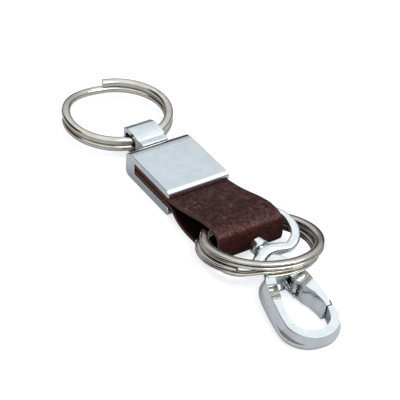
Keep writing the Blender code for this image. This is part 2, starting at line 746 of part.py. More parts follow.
def add_gate_spring(steel, parent):
    """A torsion spring above the tongue, as the open gate would hold it."""
    centre = Vector((PIVOT_ASIDE, -PIVOT_AHEAD, 0))
    base = SPRING_WIRE / 2 + GAP - TONGUE_TOP
    first = math.radians(-GATE_OPEN)
    path = []
    steps = round(10 * SPRING_TURNS)
    for i in range(steps + 1):
        angle = first + 2 * math.pi * SPRING_TURNS * i / steps
        height = base + SPRING_TURN * SPRING_TURNS * i / steps
        ray = Vector((math.cos(angle), math.sin(angle), 0)) * SPRING_RADIUS
        path.append(centre + ray + Vector((0, 0, height)))
    leg = Vector((math.sin(first), -math.cos(first), 0)) * SPRING_LEG
    last = first + 2 * math.pi * SPRING_TURNS
    back = Vector((-math.sin(last), math.cos(last), 0)) * SPRING_LEG
    path = [path[0] + leg, *path, path[-1] + back]
    sections = []
    for i, point in enumerate(path):
        before, after = path[max(i - 1, 0)], path[min(i + 1, len(path) - 1)]
        along = (after - before).normalized()
        side = along.cross(Vector((0, 0, 1))).normalized()
        up = side.cross(along)
        ring = []
        for corner in range(6):
            angle = math.pi * corner / 3
            offset = side * math.cos(angle) + up * math.sin(angle)
            ring.append(point + offset * SPRING_WIRE / 2)
        sections.append(ring)
    print(f"gate_spring: least gap to itself {least_gap(sections, 2 * SPRING_RADIUS):.3f} mm")
    return add_object("gate_spring", loft(sections), steel, parent=parent)


def clear_scene():
    for obj in list(bpy.data.objects):
        bpy.data.objects.remove(obj, do_unlink=True)


def main():
    clear_scene()
    nickel = metal("Polished nickel", (0.78, 0.78, 0.77), 0.12)
    steel = metal("Bright steel", (0.62, 0.62, 0.61), 0.25)
    hide = leather("Brown leather", (0.075, 0.032, 0.026))

    add_clamp(nickel)
    add_strap(hide)
    add_strap_pin(nickel)

    post_place = Matrix.Translation(Vector((0, CLAMP_REAR, POST_HEIGHT)))
    bail_frame = add_empty("bail_swivel", post_place)
    add_bail(nickel, bail_frame)
    add_bail_post(steel, bail_frame)
    wire_y = bail_hole_start() - CLAMP_REAR + WIRE_PLACE * BAIL_HOLE_LENGTH
    swing_place = Matrix.Translation(Vector((0, wire_y, -WIRE_DROP)))
    swing = add_empty("main_ring_swing", swing_place, bail_frame)
    ahead = MAIN_RING_RADIUS - MAIN_WIRE_WIDTH / 2
    ring_place = Matrix.Rotation(math.radians(MAIN_YAW), 4, "Z")
    ring_place @= Matrix.Rotation(math.radians(MAIN_TILT), 4, "X")
    ring_place @= Matrix.Translation(Vector((0, ahead, 0)))
    add_split_ring(
        "main_split_ring", MAIN_RING_RADIUS, MAIN_WIRE_WIDTH, MAIN_WIRE_HEIGHT, MAIN_START,
        MAIN_RAMP, nickel, ring_place, swing,
    )

    upper, lower = loop_ring_matrices()
    for name, start, matrix in (
        ("loop_ring_upper", UPPER_START, upper),
        ("loop_ring_lower", LOWER_START, lower),
    ):
        add_split_ring(
            name, LOOP_RING_RADIUS, LOOP_WIRE_WIDTH, LOOP_WIRE_HEIGHT, start, LOOP_RING_RAMP,
            nickel, matrix, None,
        )

    eye_matrix = frame_matrix(swivel_point(), EYE_YAW, EYE_PITCH, EYE_ROLL)
    hook_matrix = frame_matrix(swivel_point(), HOOK_YAW, HOOK_PITCH, 0.0)
    to_bar = Matrix.Translation(Vector((0, EYE_DEPTH, 0)))
    eye_bar = add_empty("eye_bar", eye_matrix @ to_bar)
    eye_frame = add_empty("eye_frame", to_bar.inverted(), eye_bar)
    add_eye(nickel, eye_frame)
    swivel = add_empty("clasp_swivel", Matrix.Identity(4), eye_frame)
    add_rivet(steel, swivel)
    hook_frame = add_empty("hook_frame", eye_matrix.inverted() @ hook_matrix, swivel)
    add_hook(nickel, hook_frame, swivel)
    pivot = Matrix.Translation(Vector((PIVOT_ASIDE, -PIVOT_AHEAD, 0)))
    pivot_frame = add_empty("gate_pivot", pivot, hook_frame)
    add_gate(nickel, pivot_frame)
    add_gate_pin(steel, hook_frame)
    add_gate_spring(steel, hook_frame)


main()
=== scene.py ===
"""Looks of a leather loop key ring: polished clamp, pebbled strap, split rings and snap clasp.

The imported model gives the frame. Each operator makes one piece, or a group of like pieces, in the
frame's coordinates, with a finish of its own. Settings are in Blender's units, and the functions
that make shapes work in millimetres and degrees, with +Y towards the big split ring and +Z up.
"""

import json
import math
from collections import namedtuple
from types import SimpleNamespace

import bmesh
import bpy
from mathutils import Matrix, Vector, noise

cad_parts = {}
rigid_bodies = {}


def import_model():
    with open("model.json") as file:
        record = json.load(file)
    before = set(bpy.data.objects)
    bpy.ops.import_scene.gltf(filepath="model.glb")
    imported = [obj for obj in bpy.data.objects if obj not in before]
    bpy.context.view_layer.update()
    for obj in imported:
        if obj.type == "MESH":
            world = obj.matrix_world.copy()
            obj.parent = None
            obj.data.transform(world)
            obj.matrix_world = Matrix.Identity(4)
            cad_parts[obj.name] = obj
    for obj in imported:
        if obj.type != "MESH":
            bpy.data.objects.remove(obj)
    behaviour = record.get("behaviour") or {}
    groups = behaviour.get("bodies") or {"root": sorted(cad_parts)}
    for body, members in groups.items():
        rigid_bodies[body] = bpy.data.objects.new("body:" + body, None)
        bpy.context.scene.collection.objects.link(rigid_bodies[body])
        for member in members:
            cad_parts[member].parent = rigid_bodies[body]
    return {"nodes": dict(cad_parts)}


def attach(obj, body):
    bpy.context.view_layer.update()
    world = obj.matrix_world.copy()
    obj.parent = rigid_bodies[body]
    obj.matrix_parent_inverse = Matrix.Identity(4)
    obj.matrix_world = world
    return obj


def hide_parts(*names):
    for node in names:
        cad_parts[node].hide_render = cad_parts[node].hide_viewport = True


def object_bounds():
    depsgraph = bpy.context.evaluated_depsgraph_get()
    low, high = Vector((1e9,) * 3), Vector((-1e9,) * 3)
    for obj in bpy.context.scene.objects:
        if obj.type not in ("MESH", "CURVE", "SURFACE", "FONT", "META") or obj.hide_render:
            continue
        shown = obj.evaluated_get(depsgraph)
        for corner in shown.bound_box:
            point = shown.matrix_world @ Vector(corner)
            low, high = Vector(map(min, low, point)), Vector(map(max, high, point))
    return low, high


bl_info = {
    "name": "Key Ring Looks",
    "version": (1, 0, 0),
    "blender": (4, 5, 0),
    "location": "3D View > Sidebar > Key Ring",
    "description": "Dresses a key ring with polished metal, split rings and pebbled leather",
    "category": "Object",
}

MM = 0.001

# Gap that neighbouring pieces keep, and how far a cut reaches past what it cuts
GAP = 0.3
OVERCUT = 1.0

# The bail's post, which the frame gives: its shank, the gap round it, and its head's length and
# radius
POST_RADIUS = 1.1
POST_FIT = 0.1
POST_HEAD = 1.3
POST_HEAD_RADIUS = 1.42

# Fineness of the meshes
STRAP_STEPS = 12
STRAP_COLUMNS = 64
RING_POINTS = 420
SPRING_POINTS = 160
WIRE_SIDES = 36
TURNED_SIDES = 96
PIN_SIDES = 32

# The strap's shape: waves and pebbles to the millimetre, distances from the clamp's mouth, and
# shares of its thickness, of its waves and of its full wear. The faces begin at FACE_LEVEL of half
# the thickness, and the outer CUT_REACH of the rounded edge counts as cut
WAVES_ACROSS = 0.11
WAVES_ALONG = 0.13
WAVE_START = 3.7
WAVE_DRIFT = 0.01
PEBBLES = 1.9
FLESH_PEBBLE = 0.4
BOW_SHARE = 0.8
BOW_POWER = 6
EDGE_SHARE = 0.42
FREE_FROM = 0.6
FREE_OVER = 5.0
FLARE_FROM = 6.0
# Curvature of a bend that counts as tight, where the grain gets a painted sheen
TIGHT_BEND = 0.28
# How far the loop must face forwards before it gets painted shade, and the range over which that
# grows
FRONT_FROM = 0.6
FRONT_OVER = 0.35
RIM_WEAR = 0.4
RIM_WIDTH = 1.0
FACE_LEVEL = 0.9
CUT_REACH = 0.7

# What the leather's material reads at each point: cut edge, flesh side (painted nearly black as
# painted shade), grain wear with a painted sheen on tight bends, and the front (painted shade)
STRAP_MARKS = ("cut", "flesh", "worn", "front")

# Where the loop rings' low rim comes nearest to the leather, as shares of their radius
LOW_RIM = (0.5, 0.87)

# The hook's side from its top face, at 1, to its underside, at -1, with the bulge at each level
HOOK_LEVELS = [(1.0, 0.0), (0.5, 0.33), (0.0, 0.67), (-0.3, 0.96), (-0.65, 0.95), (-1.0, 0.6)]

# Share of that bulge at the neck, how far ahead of the swivel it starts to grow, and the
# distance in which it becomes whole
NECK_BULGE = 0.2
NECK_END = 5.0
NECK_BLEND = 4.0

# Rounding of the eye's band as a share of its height, and the turns of the gate's spring
EYE_ROUNDING = 0.38
SPRING_TURNS = 2.2

# For each metal its colour and polish settings, the depth of its waves and of its scratches, and
# the tint of its clouds
METALS = {
    "Polished nickel": ("nickel", "nickel_polish", 0.10, 0.010, (0.97, 1.0, 1.02)),
    "Ring nickel": ("ring", "ring_polish", 0.05, 0.001, (0.97, 0.92, 0.85)),
    "Bright steel": ("steel", "ring_polish", 0.03, 0.002, (1.0, 1.0, 1.0)),
}

# Shade of the clouds in the plating, and what its smears add to the least roughness
CLOUD_SHADE = 0.93
ROUGHER = 0.09

# Cells of the leather's grain to the metre
WRINKLE_CELLS = 780.0
PEBBLE_CELLS = 1900.0
DRIFT_CELLS = 420.0

# Colour of the studio's walls, by the height of the direction from straight down to straight up
STUDIO = [
    (-1.0, (0.50, 0.51, 0.54)),
    (0.0, (0.46, 0.47, 0.49)),
    (0.46, (0.62, 0.65, 0.68)),
    (0.61, (0.80, 0.87, 0.91)),
    (0.76, (1.05, 1.11, 1.12)),
    (1.0, (1.05, 1.08, 1.10)),
]

# A dark screen, and the side on which the band low down is darkest: the way to each, with the
# cosines at which it begins and is full
SCREEN = ((-0.606, 0.656, 0.449), 0.84, 0.94)
BAND_SIDE = ((0.640, 0.768, 0.0), 0.20, 0.55)
BAND_ELSEWHERE = 0.65
SCREEN_SHADE = (0.070, 0.045, 0.036)

# Heights between which the band rises, and between which it fades
BAND_RISE = (-0.10, 0.0)
BAND_FADE = (0.30, 0.16)

# The lamp's place in metres, and in millimetres the floor's reach, its thickness and its gap
# under the object
LAMP_PLACE = (0.28, -0.34, 0.80)
FLOOR_REACH = 900.0
FLOOR_THICK = 4.0
FLOOR_DROP = 0.02

# A split ring: the names of its piece, body and node, its radius, its wire's width and height,
# where its lower turn begins, the angle in which it climbs, and its place
RingPlan = namedtuple("RingPlan", "name body node radius width height start ramp place")

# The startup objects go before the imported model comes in
for startup_object in list(bpy.data.objects):
    bpy.data.objects.remove(startup_object, do_unlink=True)
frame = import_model()
CAD_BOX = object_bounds()


def length(name, millimetres, description):
    """A setting with a length, given in millimetres."""
    return bpy.props.FloatProperty(
        name=name, description=description, default=millimetres * MM, unit="LENGTH",
        subtype="DISTANCE", precision=5,
    )


def angle(name, degrees, description):
    """A setting with an angle, given in degrees."""
    return bpy.props.FloatProperty(
        name=name, description=description, default=math.radians(degrees), unit="ROTATION",
        subtype="ANGLE",
    )


def share(name, value, description):
    """A setting from 0 to 1."""
    return bpy.props.FloatProperty(
        name=name, description=description, default=value, min=0.0, max=1.0, subtype="FACTOR"
    )


def colour(name, value, description):
    """A setting with a colour."""
    return bpy.props.FloatVectorProperty(
        name=name, description=description, default=value, min=0.0, max=1.0, size=3,
        subtype="COLOR",
    )


class ClampSettings(bpy.types.PropertyGroup):
    """Sizes of the polished clamp, a U that is open towards the leather loop"""

    reach: length("Length", 22.4, "Length of the clamp along the strap")
    overhang: length("Overhang", 0.1, "How far the clamp stands out beside the leather")
    lower_jaw: length("Lower jaw", 2.6, "Thickness of the jaw under the leather")
    upper_jaw: length("Upper jaw", 2.0, "Thickness of the jaw over the leather")
    head: length("Head", 4.4, "Solid metal behind the slot")
    rear_bevel: length("Rear bevel", 1.3, "Rounding along the rear of the top face")
    crown: length("Crown", 8.5, "Radius of the slow curve before that rounding")
    crown_turn: angle("Crown turn", 23.0, "How far that curve turns down")
    mouth_round: length("Mouth round", 1.3, "Rounding of the upper jaw's front edge")
    rear_round: length("Rear round", 1.8, "Rounding along the rear of the underside")
    tip_round: length("Tip round", 1.1, "Rounding of the lower jaw's tip")
    edge: length("Edge", 0.22, "Fine rounding of every other edge")
    pin_radius: length("Pin radius", 1.0, "Radius of the pin through the strap")
    pin_back: length("Pin place", 7.0, "Distance from the mouth to the pin")
    pin_depth: length("Pin depth", 1.1, "Depth of the pin in the upper jaw")


class StrapSettings(bpy.types.PropertyGroup):
    """Sizes of the folded leather strap"""

    thickness: length("Thickness", 1.2, "Thickness of the leather")
    width: length("Width", 19.0, "Width of the strap in the clamp")
    flare: length("Flare", 0.8, "How far the right side spreads towards the loop's front")
    layer_gap: length("Layer gap", 0.3, "Gap between the two ends in the clamp")
    slot_gap: length("Slot gap", 0.25, "Gap between the leather and the jaws")
    loop_height: length("Loop height", 10.4, "Height of the loop's crest")
    loop_reach: length("Loop reach", 25.0, "How far the loop reaches out of the clamp")
    sway: length("Sway", 0.10, "Depth of the slow waves in the leather")
    pebble: length("Pebble", 0.035, "Depth of the grain")


class BailSettings(bpy.types.PropertyGroup):
    """Sizes of the bail that holds the big split ring"""

    width: length("Width", 8.7, "Width of the bail")
    wall: length("Wall", 1.0, "Wall round the window")
    hole_length: length("Window length", 5.6, "Length of the window")
    hole_height: length("Window height", 5.5, "Height of the window")
    hole_round: length("Window round", 1.2, "Rounding of the window's upper corners")
    hole_drop: length("Window drop", 0.4, "How far the window's top lies under its full height")
    thin: length("Thinning", 0.25, "How much thinner the walls over and under the window are")
    crown_run: length("Crown run", 2.0, "Length of the crown's two sloping facets")
    neck: length("Neck", 2.4, "Length of the neck")
    neck_width: length("Neck width", 8.0, "Width of the neck")
    neck_rise: length("Neck rise", 0.9, "How far the neck's underside lies over the bail's")
    neck_drop: length("Neck drop", 0.6, "How far the neck's top lies under the bail's")
    neck_root: length("Neck root", 0.5, "How far the neck is sunk in the bail")
    bore_wall: length("Bore wall", 0.4, "Wall between the post's bore and the window")
    slope: length("Slope", 2.0, "How far the rear slopes in towards the underside")
    edge: length("Edge", 0.25, "Rounding of the edges")


class RingSettings(bpy.types.PropertyGroup):
    """Sizes and places of the three split rings"""

    main_radius: length("Big ring radius", 15.9, "Outer radius of the ring in the bail")
    main_width: length("Big ring width", 2.5, "Width of its flat wire")
    main_height: length("Big ring height", 1.88, "Height of its flat wire")
    main_start: angle("Big ring start", 156.0, "Where its lower turn begins")
    main_ramp: angle("Big ring ramp", 80.0, "Angle in which it climbs to its upper turn")
    main_tilt: angle("Big ring tilt", 0.2, "How far the ring tips up behind the bail")
    main_yaw: angle("Big ring yaw", 1.0, "How far the ring is turned in plan")
    wire_place: share("Wire place", 0.42, "Where the wire lies along the bail's window")
    wire_drop: length("Wire drop", 0.2, "How far the wire lies under the window's middle")
    loop_radius: length("Loop ring radius", 16.0, "Outer radius of the rings in the leather")
    loop_width: length("Loop ring width", 2.4, "Width of their flat wire")
    loop_height: length("Loop ring height", 0.84, "Height of their flat wire")
    loop_ramp: angle("Loop ring ramp", 30.0, "Angle in which they climb to their upper turn")
    upper_start: angle("Upper start", 100.0, "Where the upper ring's lower turn begins")
    lower_start: angle("Lower start", -115.0, "Where the lower ring's lower turn begins")
    turn_gap: length("Turn gap", 0.44, "Pitch gap between the two turns of a ring")
    fine_gap: length("Fine gap", 0.12, "Gap between turns with the wire at its full height")
    flatness: share("Flatness", 0.88, "1 for an oval wire, less for a flatter one")
    pitch: angle("Pitch", -11.4, "Tip of the loop rings about the strap's width")
    roll: angle("Roll", 5.6, "Roll of the loop rings about the strap's length")
    stack_gap: length("Stack gap", 0.15, "Gap between the two loop rings")
    seat: length("Seat", 0.6, "Gap from the lower ring to the leather")
    stack_aside: length("Aside", 0.8, "Shift of the upper ring to the right")
    stack_ahead: length("Ahead", 0.8, "Shift of the upper ring to the clasp")
    lower_aside: length("Lower ring aside", -0.4, "Shift of the lower ring from the middle")
    offset: length("Offset", 3.6, "Distance of the lower ring's centre from the loop's front")


class ClaspSettings(bpy.types.PropertyGroup):
    """Sizes and places of the clasp's eye, rivet, hook, gate and spring"""

    swivel_ahead: length("Swivel ahead", 7.7, "Distance of the swivel from the loop's front")
    swivel_aside: length("Swivel aside", 0.75, "Shift of the swivel to the right")
    swivel_height: length("Swivel height", 5.7, "Height of the swivel")
    eye_yaw: angle("Eye yaw", -2.5, "Turn of the eye in plan")
    eye_pitch: angle("Eye pitch", -0.7, "Tip of the eye")
    eye_roll: angle("Eye roll", 13.6, "Roll of the eye")
    hook_yaw: angle("Hook yaw", 8.7, "Turn of the hook in plan")
    hook_pitch: angle("Hook pitch", 6.5, "Tip of the hook")
    eye_gap: length("Eye gap", 1.05, "Gap from the eye to the strap's sides")
    eye_depth: length("Eye depth", 13.0, "Distance from the swivel to the eye's bar")
    eye_band: length("Eye band", 2.0, "Width of the eye's arms")
    eye_front: length("Eye front", 2.7, "Width of the eye's front")
    eye_height: length("Eye height", 1.6, "Height of the eye's band")
    eye_arch: length("Eye arch", 1.6, "How far the front arches back over the neck")
    eye_foot: length("Eye foot", 0.65, "How far the arch's feet reach forwards")
    boss_back: length("Boss back", 3.2, "Reach of the eye's swollen front towards the strap")
    rivet_radius: length("Rivet radius", 0.9, "Radius of the rivet's shank")
    rivet_head_radius: length("Head radius", 2.45, "Radius of the rivet's head")
    rivet_head: length("Head", 2.4, "Thickness of the rivet's head")
    rivet_grip: length("Grip", 5.0, "Length of the rivet in the hook's neck")
    rivet_play: length("Play", 0.3, "Gap round the rivet in the eye")
    rivet_fit: length("Fit", 0.15, "Gap round the rivet in the neck")
    hook_start: length("Hook start", 1.5, "Where the neck begins ahead of the swivel")
    neck_radius: length("Neck radius", 3.0, "Radius of the neck's round end")
    neck_bottom: length("Neck bottom", 2.8, "Depth of the neck under the swivel")
    shoulder_ahead: length("Shoulder ahead", 10.2, "Where the shoulders are widest")
    shoulder: length("Shoulder", 6.0, "Half width of the shoulders")
    half_width: length("Half width", 7.15, "Half width of the hook")
    tip_ahead: length("Tip ahead", 30.7, "Distance of the tip from the swivel")
    top: length("Top", 1.95, "Height of the top face over the swivel")
    bottom: length("Bottom", 4.0, "Depth of the underside at the shoulders")
    tip_bottom: length("Tip bottom", 1.9, "Depth of the underside at the tip")
    side_bulge: length("Side bulge", 1.45, "How far the hook's side leans out")
    gate_bulge: length("Gate bulge", 0.7, "How far the gate's side leans out")
    tip_bulge: length("Tip bulge", 0.3, "How far the tip leans out")
    arm: length("Arm", 2.0, "Width of the hook's arm")
    tip: length("Tip", 2.5, "Width of the hook's tip")
    arm_root: length("Arm root", 2.9, "Width of the arm at its root")
    opening_start: length("Opening start", 9.0, "Where the opening begins")
    edge: length("Edge", 0.1, "Fine rounding of the hook's and the gate's edges")
    pivot_aside: length("Pivot aside", 2.4, "The gate pin's place to the right")
    pivot_ahead: length("Pivot ahead", 10.5, "The gate pin's place ahead of the swivel")
    knuckle: length("Knuckle", 2.3, "Radius of the gate's knuckle")
    knuckle_wall: length("Knuckle wall", 0.55, "Wall of the gate's knuckle round the spring")
    root_angle: angle("Root angle", -135.0, "Where the knuckle's arc ends")
    gate_gap: length("Gate gap", 0.3, "Gap between the gate and the hook")
    gate_tip_ahead: length("Gate tip ahead", 21.6, "Where the gate ends")
    gate_tip_aside: length("Gate tip aside", 6.4, "Outer side of the gate's tip")
    gate_tip_width: length("Gate tip width", 1.1, "Width of the gate's tip")
    pocket_top: length("Pocket top", 0.9, "Roof of the gate's pocket")
    pocket_bottom: length("Pocket bottom", 3.0, "Floor of the gate's pocket")
    pocket_aside: length("Pocket aside", 1.6, "Pocket's reach outwards from the pin")
    pocket_ahead: length("Pocket ahead", 2.3, "Pocket's reach ahead of the pin")
    head_pocket: length("Head pocket", 2.5, "Pocket's reach in the hook's head")
    gate_lap: share("Lap slope", 0.1, "Slope of the gate's outer side in plan")
    gate_lean: share("Gate lean", 0.2, "Lean of the gate's inner side")
    tongue_root: length("Tongue root", 0.8, "How far the tongue is sunk in the head")
    tongue_radius: length("Tongue radius", 1.05, "Half width of the tongue under the gate")
    tongue_bottom: length("Tongue bottom", 2.7, "Underside of the tongue")
    tongue_top: length("Tongue top", 1.9, "Upper side of the tongue")
    barrel_radius: length("Barrel radius", 0.85, "Radius of the barrel round the pin")
    barrel_root: length("Barrel root", 0.3, "How far the barrel is sunk in the tongue")
    barrel_top: length("Barrel top", 0.6, "Height of the barrel")
    pin_radius: length("Gate pin radius", 0.4, "Radius of the gate's pin")
    pin_fit: length("Gate pin fit", 0.13, "Gap round the gate's pin")
    pin_top: length("Gate pin top", 1.4, "Height of the gate's pin")
    spring_wire: length("Spring wire", 0.32, "Thickness of the spring's wire")
    spring_radius: length("Spring radius", 1.2, "Radius of the spring")
    spring_pitch: length("Spring pitch", 0.78, "Climb of the spring in each turn")
    spring_leg: length("Spring leg", 1.1, "Length of the spring's straight legs")
    gate_open: angle("Gate open", 25.0, "How far the gate opens")


class FinishSettings(bpy.types.PropertyGroup):
    """Colours and polish of every finish"""

    nickel: colour("Nickel", (0.81, 0.83, 0.84), "Colour of the polished castings")
    ring: colour("Ring nickel", (0.72, 0.70, 0.65), "Colour of the split rings")
    steel: colour("Steel", (0.70, 0.70, 0.69), "Colour of the pins and the spring")
    nickel_polish: share("Nickel roughness", 0.07, "Least roughness of the castings")
    ring_polish: share("Ring roughness", 0.06, "Least roughness of the rings")
    leather: colour("Leather", (0.060, 0.017, 0.016), "Colour of the leather's grain")
    # The crease colour is also painted over most of the flesh side, as painted shade inside the
    # loop
    crease: colour("Crease", (0.007, 0.0016, 0.0016), "Colour between the pebbles")
    # The bloom colour is painted on scuffed grain, and as a painted sheen on the loop's tight bends
    bloom: colour("Bloom", (0.165, 0.080, 0.072), "Colour of the worn tops of the grain")
    # The front colour is painted shade on the loop's front face, where it turns down
    front: colour("Front", (0.055, 0.009, 0.006), "Colour where the loop turns down at its front")
    cut_edge: colour("Cut edge", (0.110, 0.048, 0.034), "Colour of the cut edges")


class StageSettings(bpy.types.PropertyGroup):
    """Floor, light and camera"""

    floor: colour("Floor", (0.43, 0.43, 0.45), "Colour of the matt floor")
    glow: share("Floor glow", 0.71, "What the floor adds to its light for the camera")
    mirrored: share("Mirrored glow", 0.03, "What the floor adds to its light in reflections")
    lamp_size: length("Lamp size", 800.0, "Side of the square lamp")
    lamp_power: bpy.props.FloatProperty(
        name="Lamp power", description="Power of the lamp", default=6.0, unit="POWER"
    )
    azimuth: angle("Azimuth", -34.413, "Direction from which the camera looks")
    elevation: angle("Elevation", 37.297, "Height of the camera over the floor")
    roll: angle("Camera roll", 3.547, "Roll of the camera")
    distance: length("Distance", 455.695, "Distance of the camera from its target")
    target_x: length("Target X", 1.898, "Point at the picture's centre")
    target_y: length("Target Y", -9.182, "Point at the picture's centre")
    lens: bpy.props.FloatProperty(
        name="Lens", description="Focal length in millimetres for a 36 mm sensor",
        default=151.404, unit="CAMERA",
    )


class KeyRingSettings(bpy.types.PropertyGroup):
    """All the settings of the key ring"""

    clamp: bpy.props.PointerProperty(type=ClampSettings)
    strap: bpy.props.PointerProperty(type=StrapSettings)
    bail: bpy.props.PointerProperty(type=BailSettings)
    rings: bpy.props.PointerProperty(type=RingSettings)
    clasp: bpy.props.PointerProperty(type=ClaspSettings)
    finish: bpy.props.PointerProperty(type=FinishSettings)
    stage: bpy.props.PointerProperty(type=StageSettings)


def sizes(group):
    """A group's settings, with lengths in millimetres and angles in degrees."""
    found = SimpleNamespace()
    for name in type(group).__annotations__:
        value = getattr(group, name)
        unit = group.bl_rna.properties[name].unit
        if unit == "LENGTH":
            value = value / MM
        elif unit == "ROTATION":
            value = math.degrees(value)
        setattr(found, name, value)
    return found


def all_sizes(context):
    """Every size of the key ring, with those that follow from them."""
    settings = context.scene.key_ring
    s = SimpleNamespace()
    for name in ("clamp", "strap", "bail", "rings", "clasp"):
        setattr(s, name, sizes(getattr(settings, name)))
    slot = 2 * s.strap.thickness + s.strap.layer_gap + 2 * s.strap.slot_gap
    s.slot_top = s.clamp.lower_jaw + slot
    s.clamp_top = s.slot_top + s.clamp.upper_jaw
    s.mouth = -s.clamp.reach / 2
    s.rear = s.clamp.reach / 2
    s.slot_end = s.rear - s.clamp.head
    s.lower_layer = s.clamp.lower_jaw + s.strap.slot_gap + s.strap.thickness / 2
    s.upper_layer = s.lower_layer + s.strap.thickness + s.strap.layer_gap
    s.loop_front = s.mouth - s.strap.loop_reach
    s.post_height = s.clamp.lower_jaw + slot / 2
    s.hole_start = s.rear + GAP + s.bail.neck + s.bail.wall
    c = s.clasp
    swivel = Vector((c.swivel_aside, s.loop_front - c.swivel_ahead, c.swivel_height))
    s.eye_matrix = frame_matrix(swivel, c.eye_yaw, c.eye_pitch, c.eye_roll)
    s.hook_matrix = frame_matrix(swivel, c.hook_yaw, c.hook_pitch, 0.0)
    return s


def frame_matrix(origin, yaw, pitch, roll):
    """A frame whose Y axis points back to the clamp, turned in plan, then tipped, then rolled."""
    turn = Matrix.Rotation(math.radians(-yaw), 4, "Z")
    tip = Matrix.Rotation(math.radians(pitch), 4, "X")
    return Matrix.Translation(origin) @ turn @ tip @ Matrix.Rotation(math.radians(-roll), 4, "Y")


# Shapes, in millimetres


def bridge(bm, first, second):
    """Faces between two closed rows of points."""
    count = len(first)
    for i in range(count):
        j = (i + 1) % count
        bm.faces.new((first[i], first[j], second[j], second[i]))


def loft(sections, closed=False):
    """A solid through sections of equal point counts, with end faces unless it is closed."""
    bm = bmesh.new()
    rings = [[bm.verts.new(point) for point in section] for section in sections]
    for first, second in zip(rings, rings[1:]):
        bridge(bm, first, second)
    if closed:
        bridge(bm, rings[-1], rings[0])
    else:
        bm.faces.new(rings[0])
        bm.faces.new(rings[-1])
    return bm


def prism(outline, axis, low, high):
    """An outline of 2D points, extruded along an axis: 0 for X, 1 for Y and 2 for Z."""
    sections = []
    for level in (low, high):
        sections.append([Vector(point[:axis] + (level,) + point[axis:]) for point in outline])
    return loft(sections)


def box(low, high):
    """A block from its lowest to its highest corner."""
    outline = [(low[0], low[1]), (high[0], low[1]), (high[0], high[1]), (low[0], high[1])]
    return prism(outline, 2, low[2], high[2])


def arc(centre, radius, start, end, count):
    """Points of an arc in two dimensions, angles in degrees."""
    points = []
    for i in range(count + 1):
        turn = math.radians(start + (end - start) * i / count)
        points.append((centre[0] + radius * math.cos(turn), centre[1] + radius * math.sin(turn)))
    return points


def cylinder(axis, centre, radius, low, high, count=64):
    """A cylinder along an axis, its centre given by the two coordinates across that axis."""
    return prism(arc(centre, radius, 0, 360 - 360 / count, count - 1), axis, low, high)


def smooth_path(points, steps, closed=False):
    """Points of a Catmull-Rom curve through the given ones."""
    knots = [Vector(point) for point in points]
    if closed:
        knots = [knots[-1], *knots, knots[0], knots[1]]
    else:
        knots = [2 * knots[0] - knots[1], *knots, 2 * knots[-1] - knots[-2]]
    path = []
    for a, b, c, d in zip(knots, knots[1:], knots[2:], knots[3:]):
        for i in range(steps):
            t = i / steps
            cubic = (3 * b - a - 3 * c + d) * t**3
            square = (2 * a - 5 * b + 4 * c - d) * t**2
            path.append(0.5 * (2 * b + (c - a) * t + square + cubic))
    if not closed:
        path.append(knots[-2])
    return path


def ease(value):
    """A smooth step from 0 to 1 as the value goes from 0 to 1."""
    value = min(max(value, 0.0), 1.0)
    return value * value * (3 - 2 * value)


def rounded_section(width, height, radius, count=4):
    """A rounded rectangle, as across and up coordinates, anticlockwise from its right side."""
    x, y = width / 2 - radius, height / 2 - radius
    points = []
    for centre, start in (((x, y), 0), ((-x, y), 90), ((-x, -y), 180), ((x, -y), 270)):
        points += arc(centre, radius, start, start + 90, count)
    return points


def turned(profile, count=TURNED_SIDES):
    """A profile of radius and Y, from the axis back to the axis, turned about Y."""
    bm = bmesh.new()
    rings = []
    for i in range(count):
        turn = 2 * math.pi * i / count
        across = Vector((math.cos(turn), 0, math.sin(turn)))
        rings.append([bm.verts.new(across * r + Vector((0, y, 0))) for r, y in profile[1:-1]])
    for i, ring in enumerate(rings):
        following = rings[(i + 1) % count]
        for a, b, c, d in zip(ring, ring[1:], following[1:], following):
            bm.faces.new((a, b, c, d))
    bm.faces.new([ring[0] for ring in rings])
    bm.faces.new([ring[-1] for ring in rings])
    return bm


# Objects


def new_solid(name, bm, matrix=None):
    """An object at the origin from a bmesh in millimetres, moved to its place by the matrix."""
    if matrix:
        bmesh.ops.transform(bm, matrix=matrix, verts=bm.verts)
    bmesh.ops.recalc_face_normals(bm, faces=bm.faces)
    bmesh.ops.scale(bm, vec=(MM, MM, MM), verts=bm.verts)
    mesh = bpy.data.meshes.new(name)
    bm.to_mesh(mesh)
    bm.free()
    obj = bpy.data.objects.new(name, mesh)
    bpy.context.scene.collection.objects.link(obj)
    return obj


def apply_modifiers(obj):
    """Turns what the modifiers make into the object's own mesh."""
    evaluated = obj.evaluated_get(bpy.context.evaluated_depsgraph_get())
    mesh = bpy.data.meshes.new_from_object(evaluated)
    obj.modifiers.clear()
    obj.data = mesh
    mesh.name = obj.name


def carve(obj, bm, matrix=None, operation="DIFFERENCE"):
    """Cuts a shape out of an object, or joins it on, or keeps what both share."""
    cutter = new_solid("cutter", bm, matrix)
    modifier = obj.modifiers.new("Carve", "BOOLEAN")
    modifier.operation = operation
    modifier.solver = "EXACT"
    modifier.object = cutter
    apply_modifiers(obj)
    bpy.data.objects.remove(cutter, do_unlink=True)


def soften_edges(obj, width, segments=3, limit=40.0):
    """Rounds every edge that turns by more than the limit."""
    modifier = obj.modifiers.new("Edge", "BEVEL")
    modifier.width = width * MM
    modifier.segments = segments
    modifier.limit_method = "ANGLE"
    modifier.angle_limit = math.radians(limit)
    modifier.use_clamp_overlap = True
    apply_modifiers(obj)


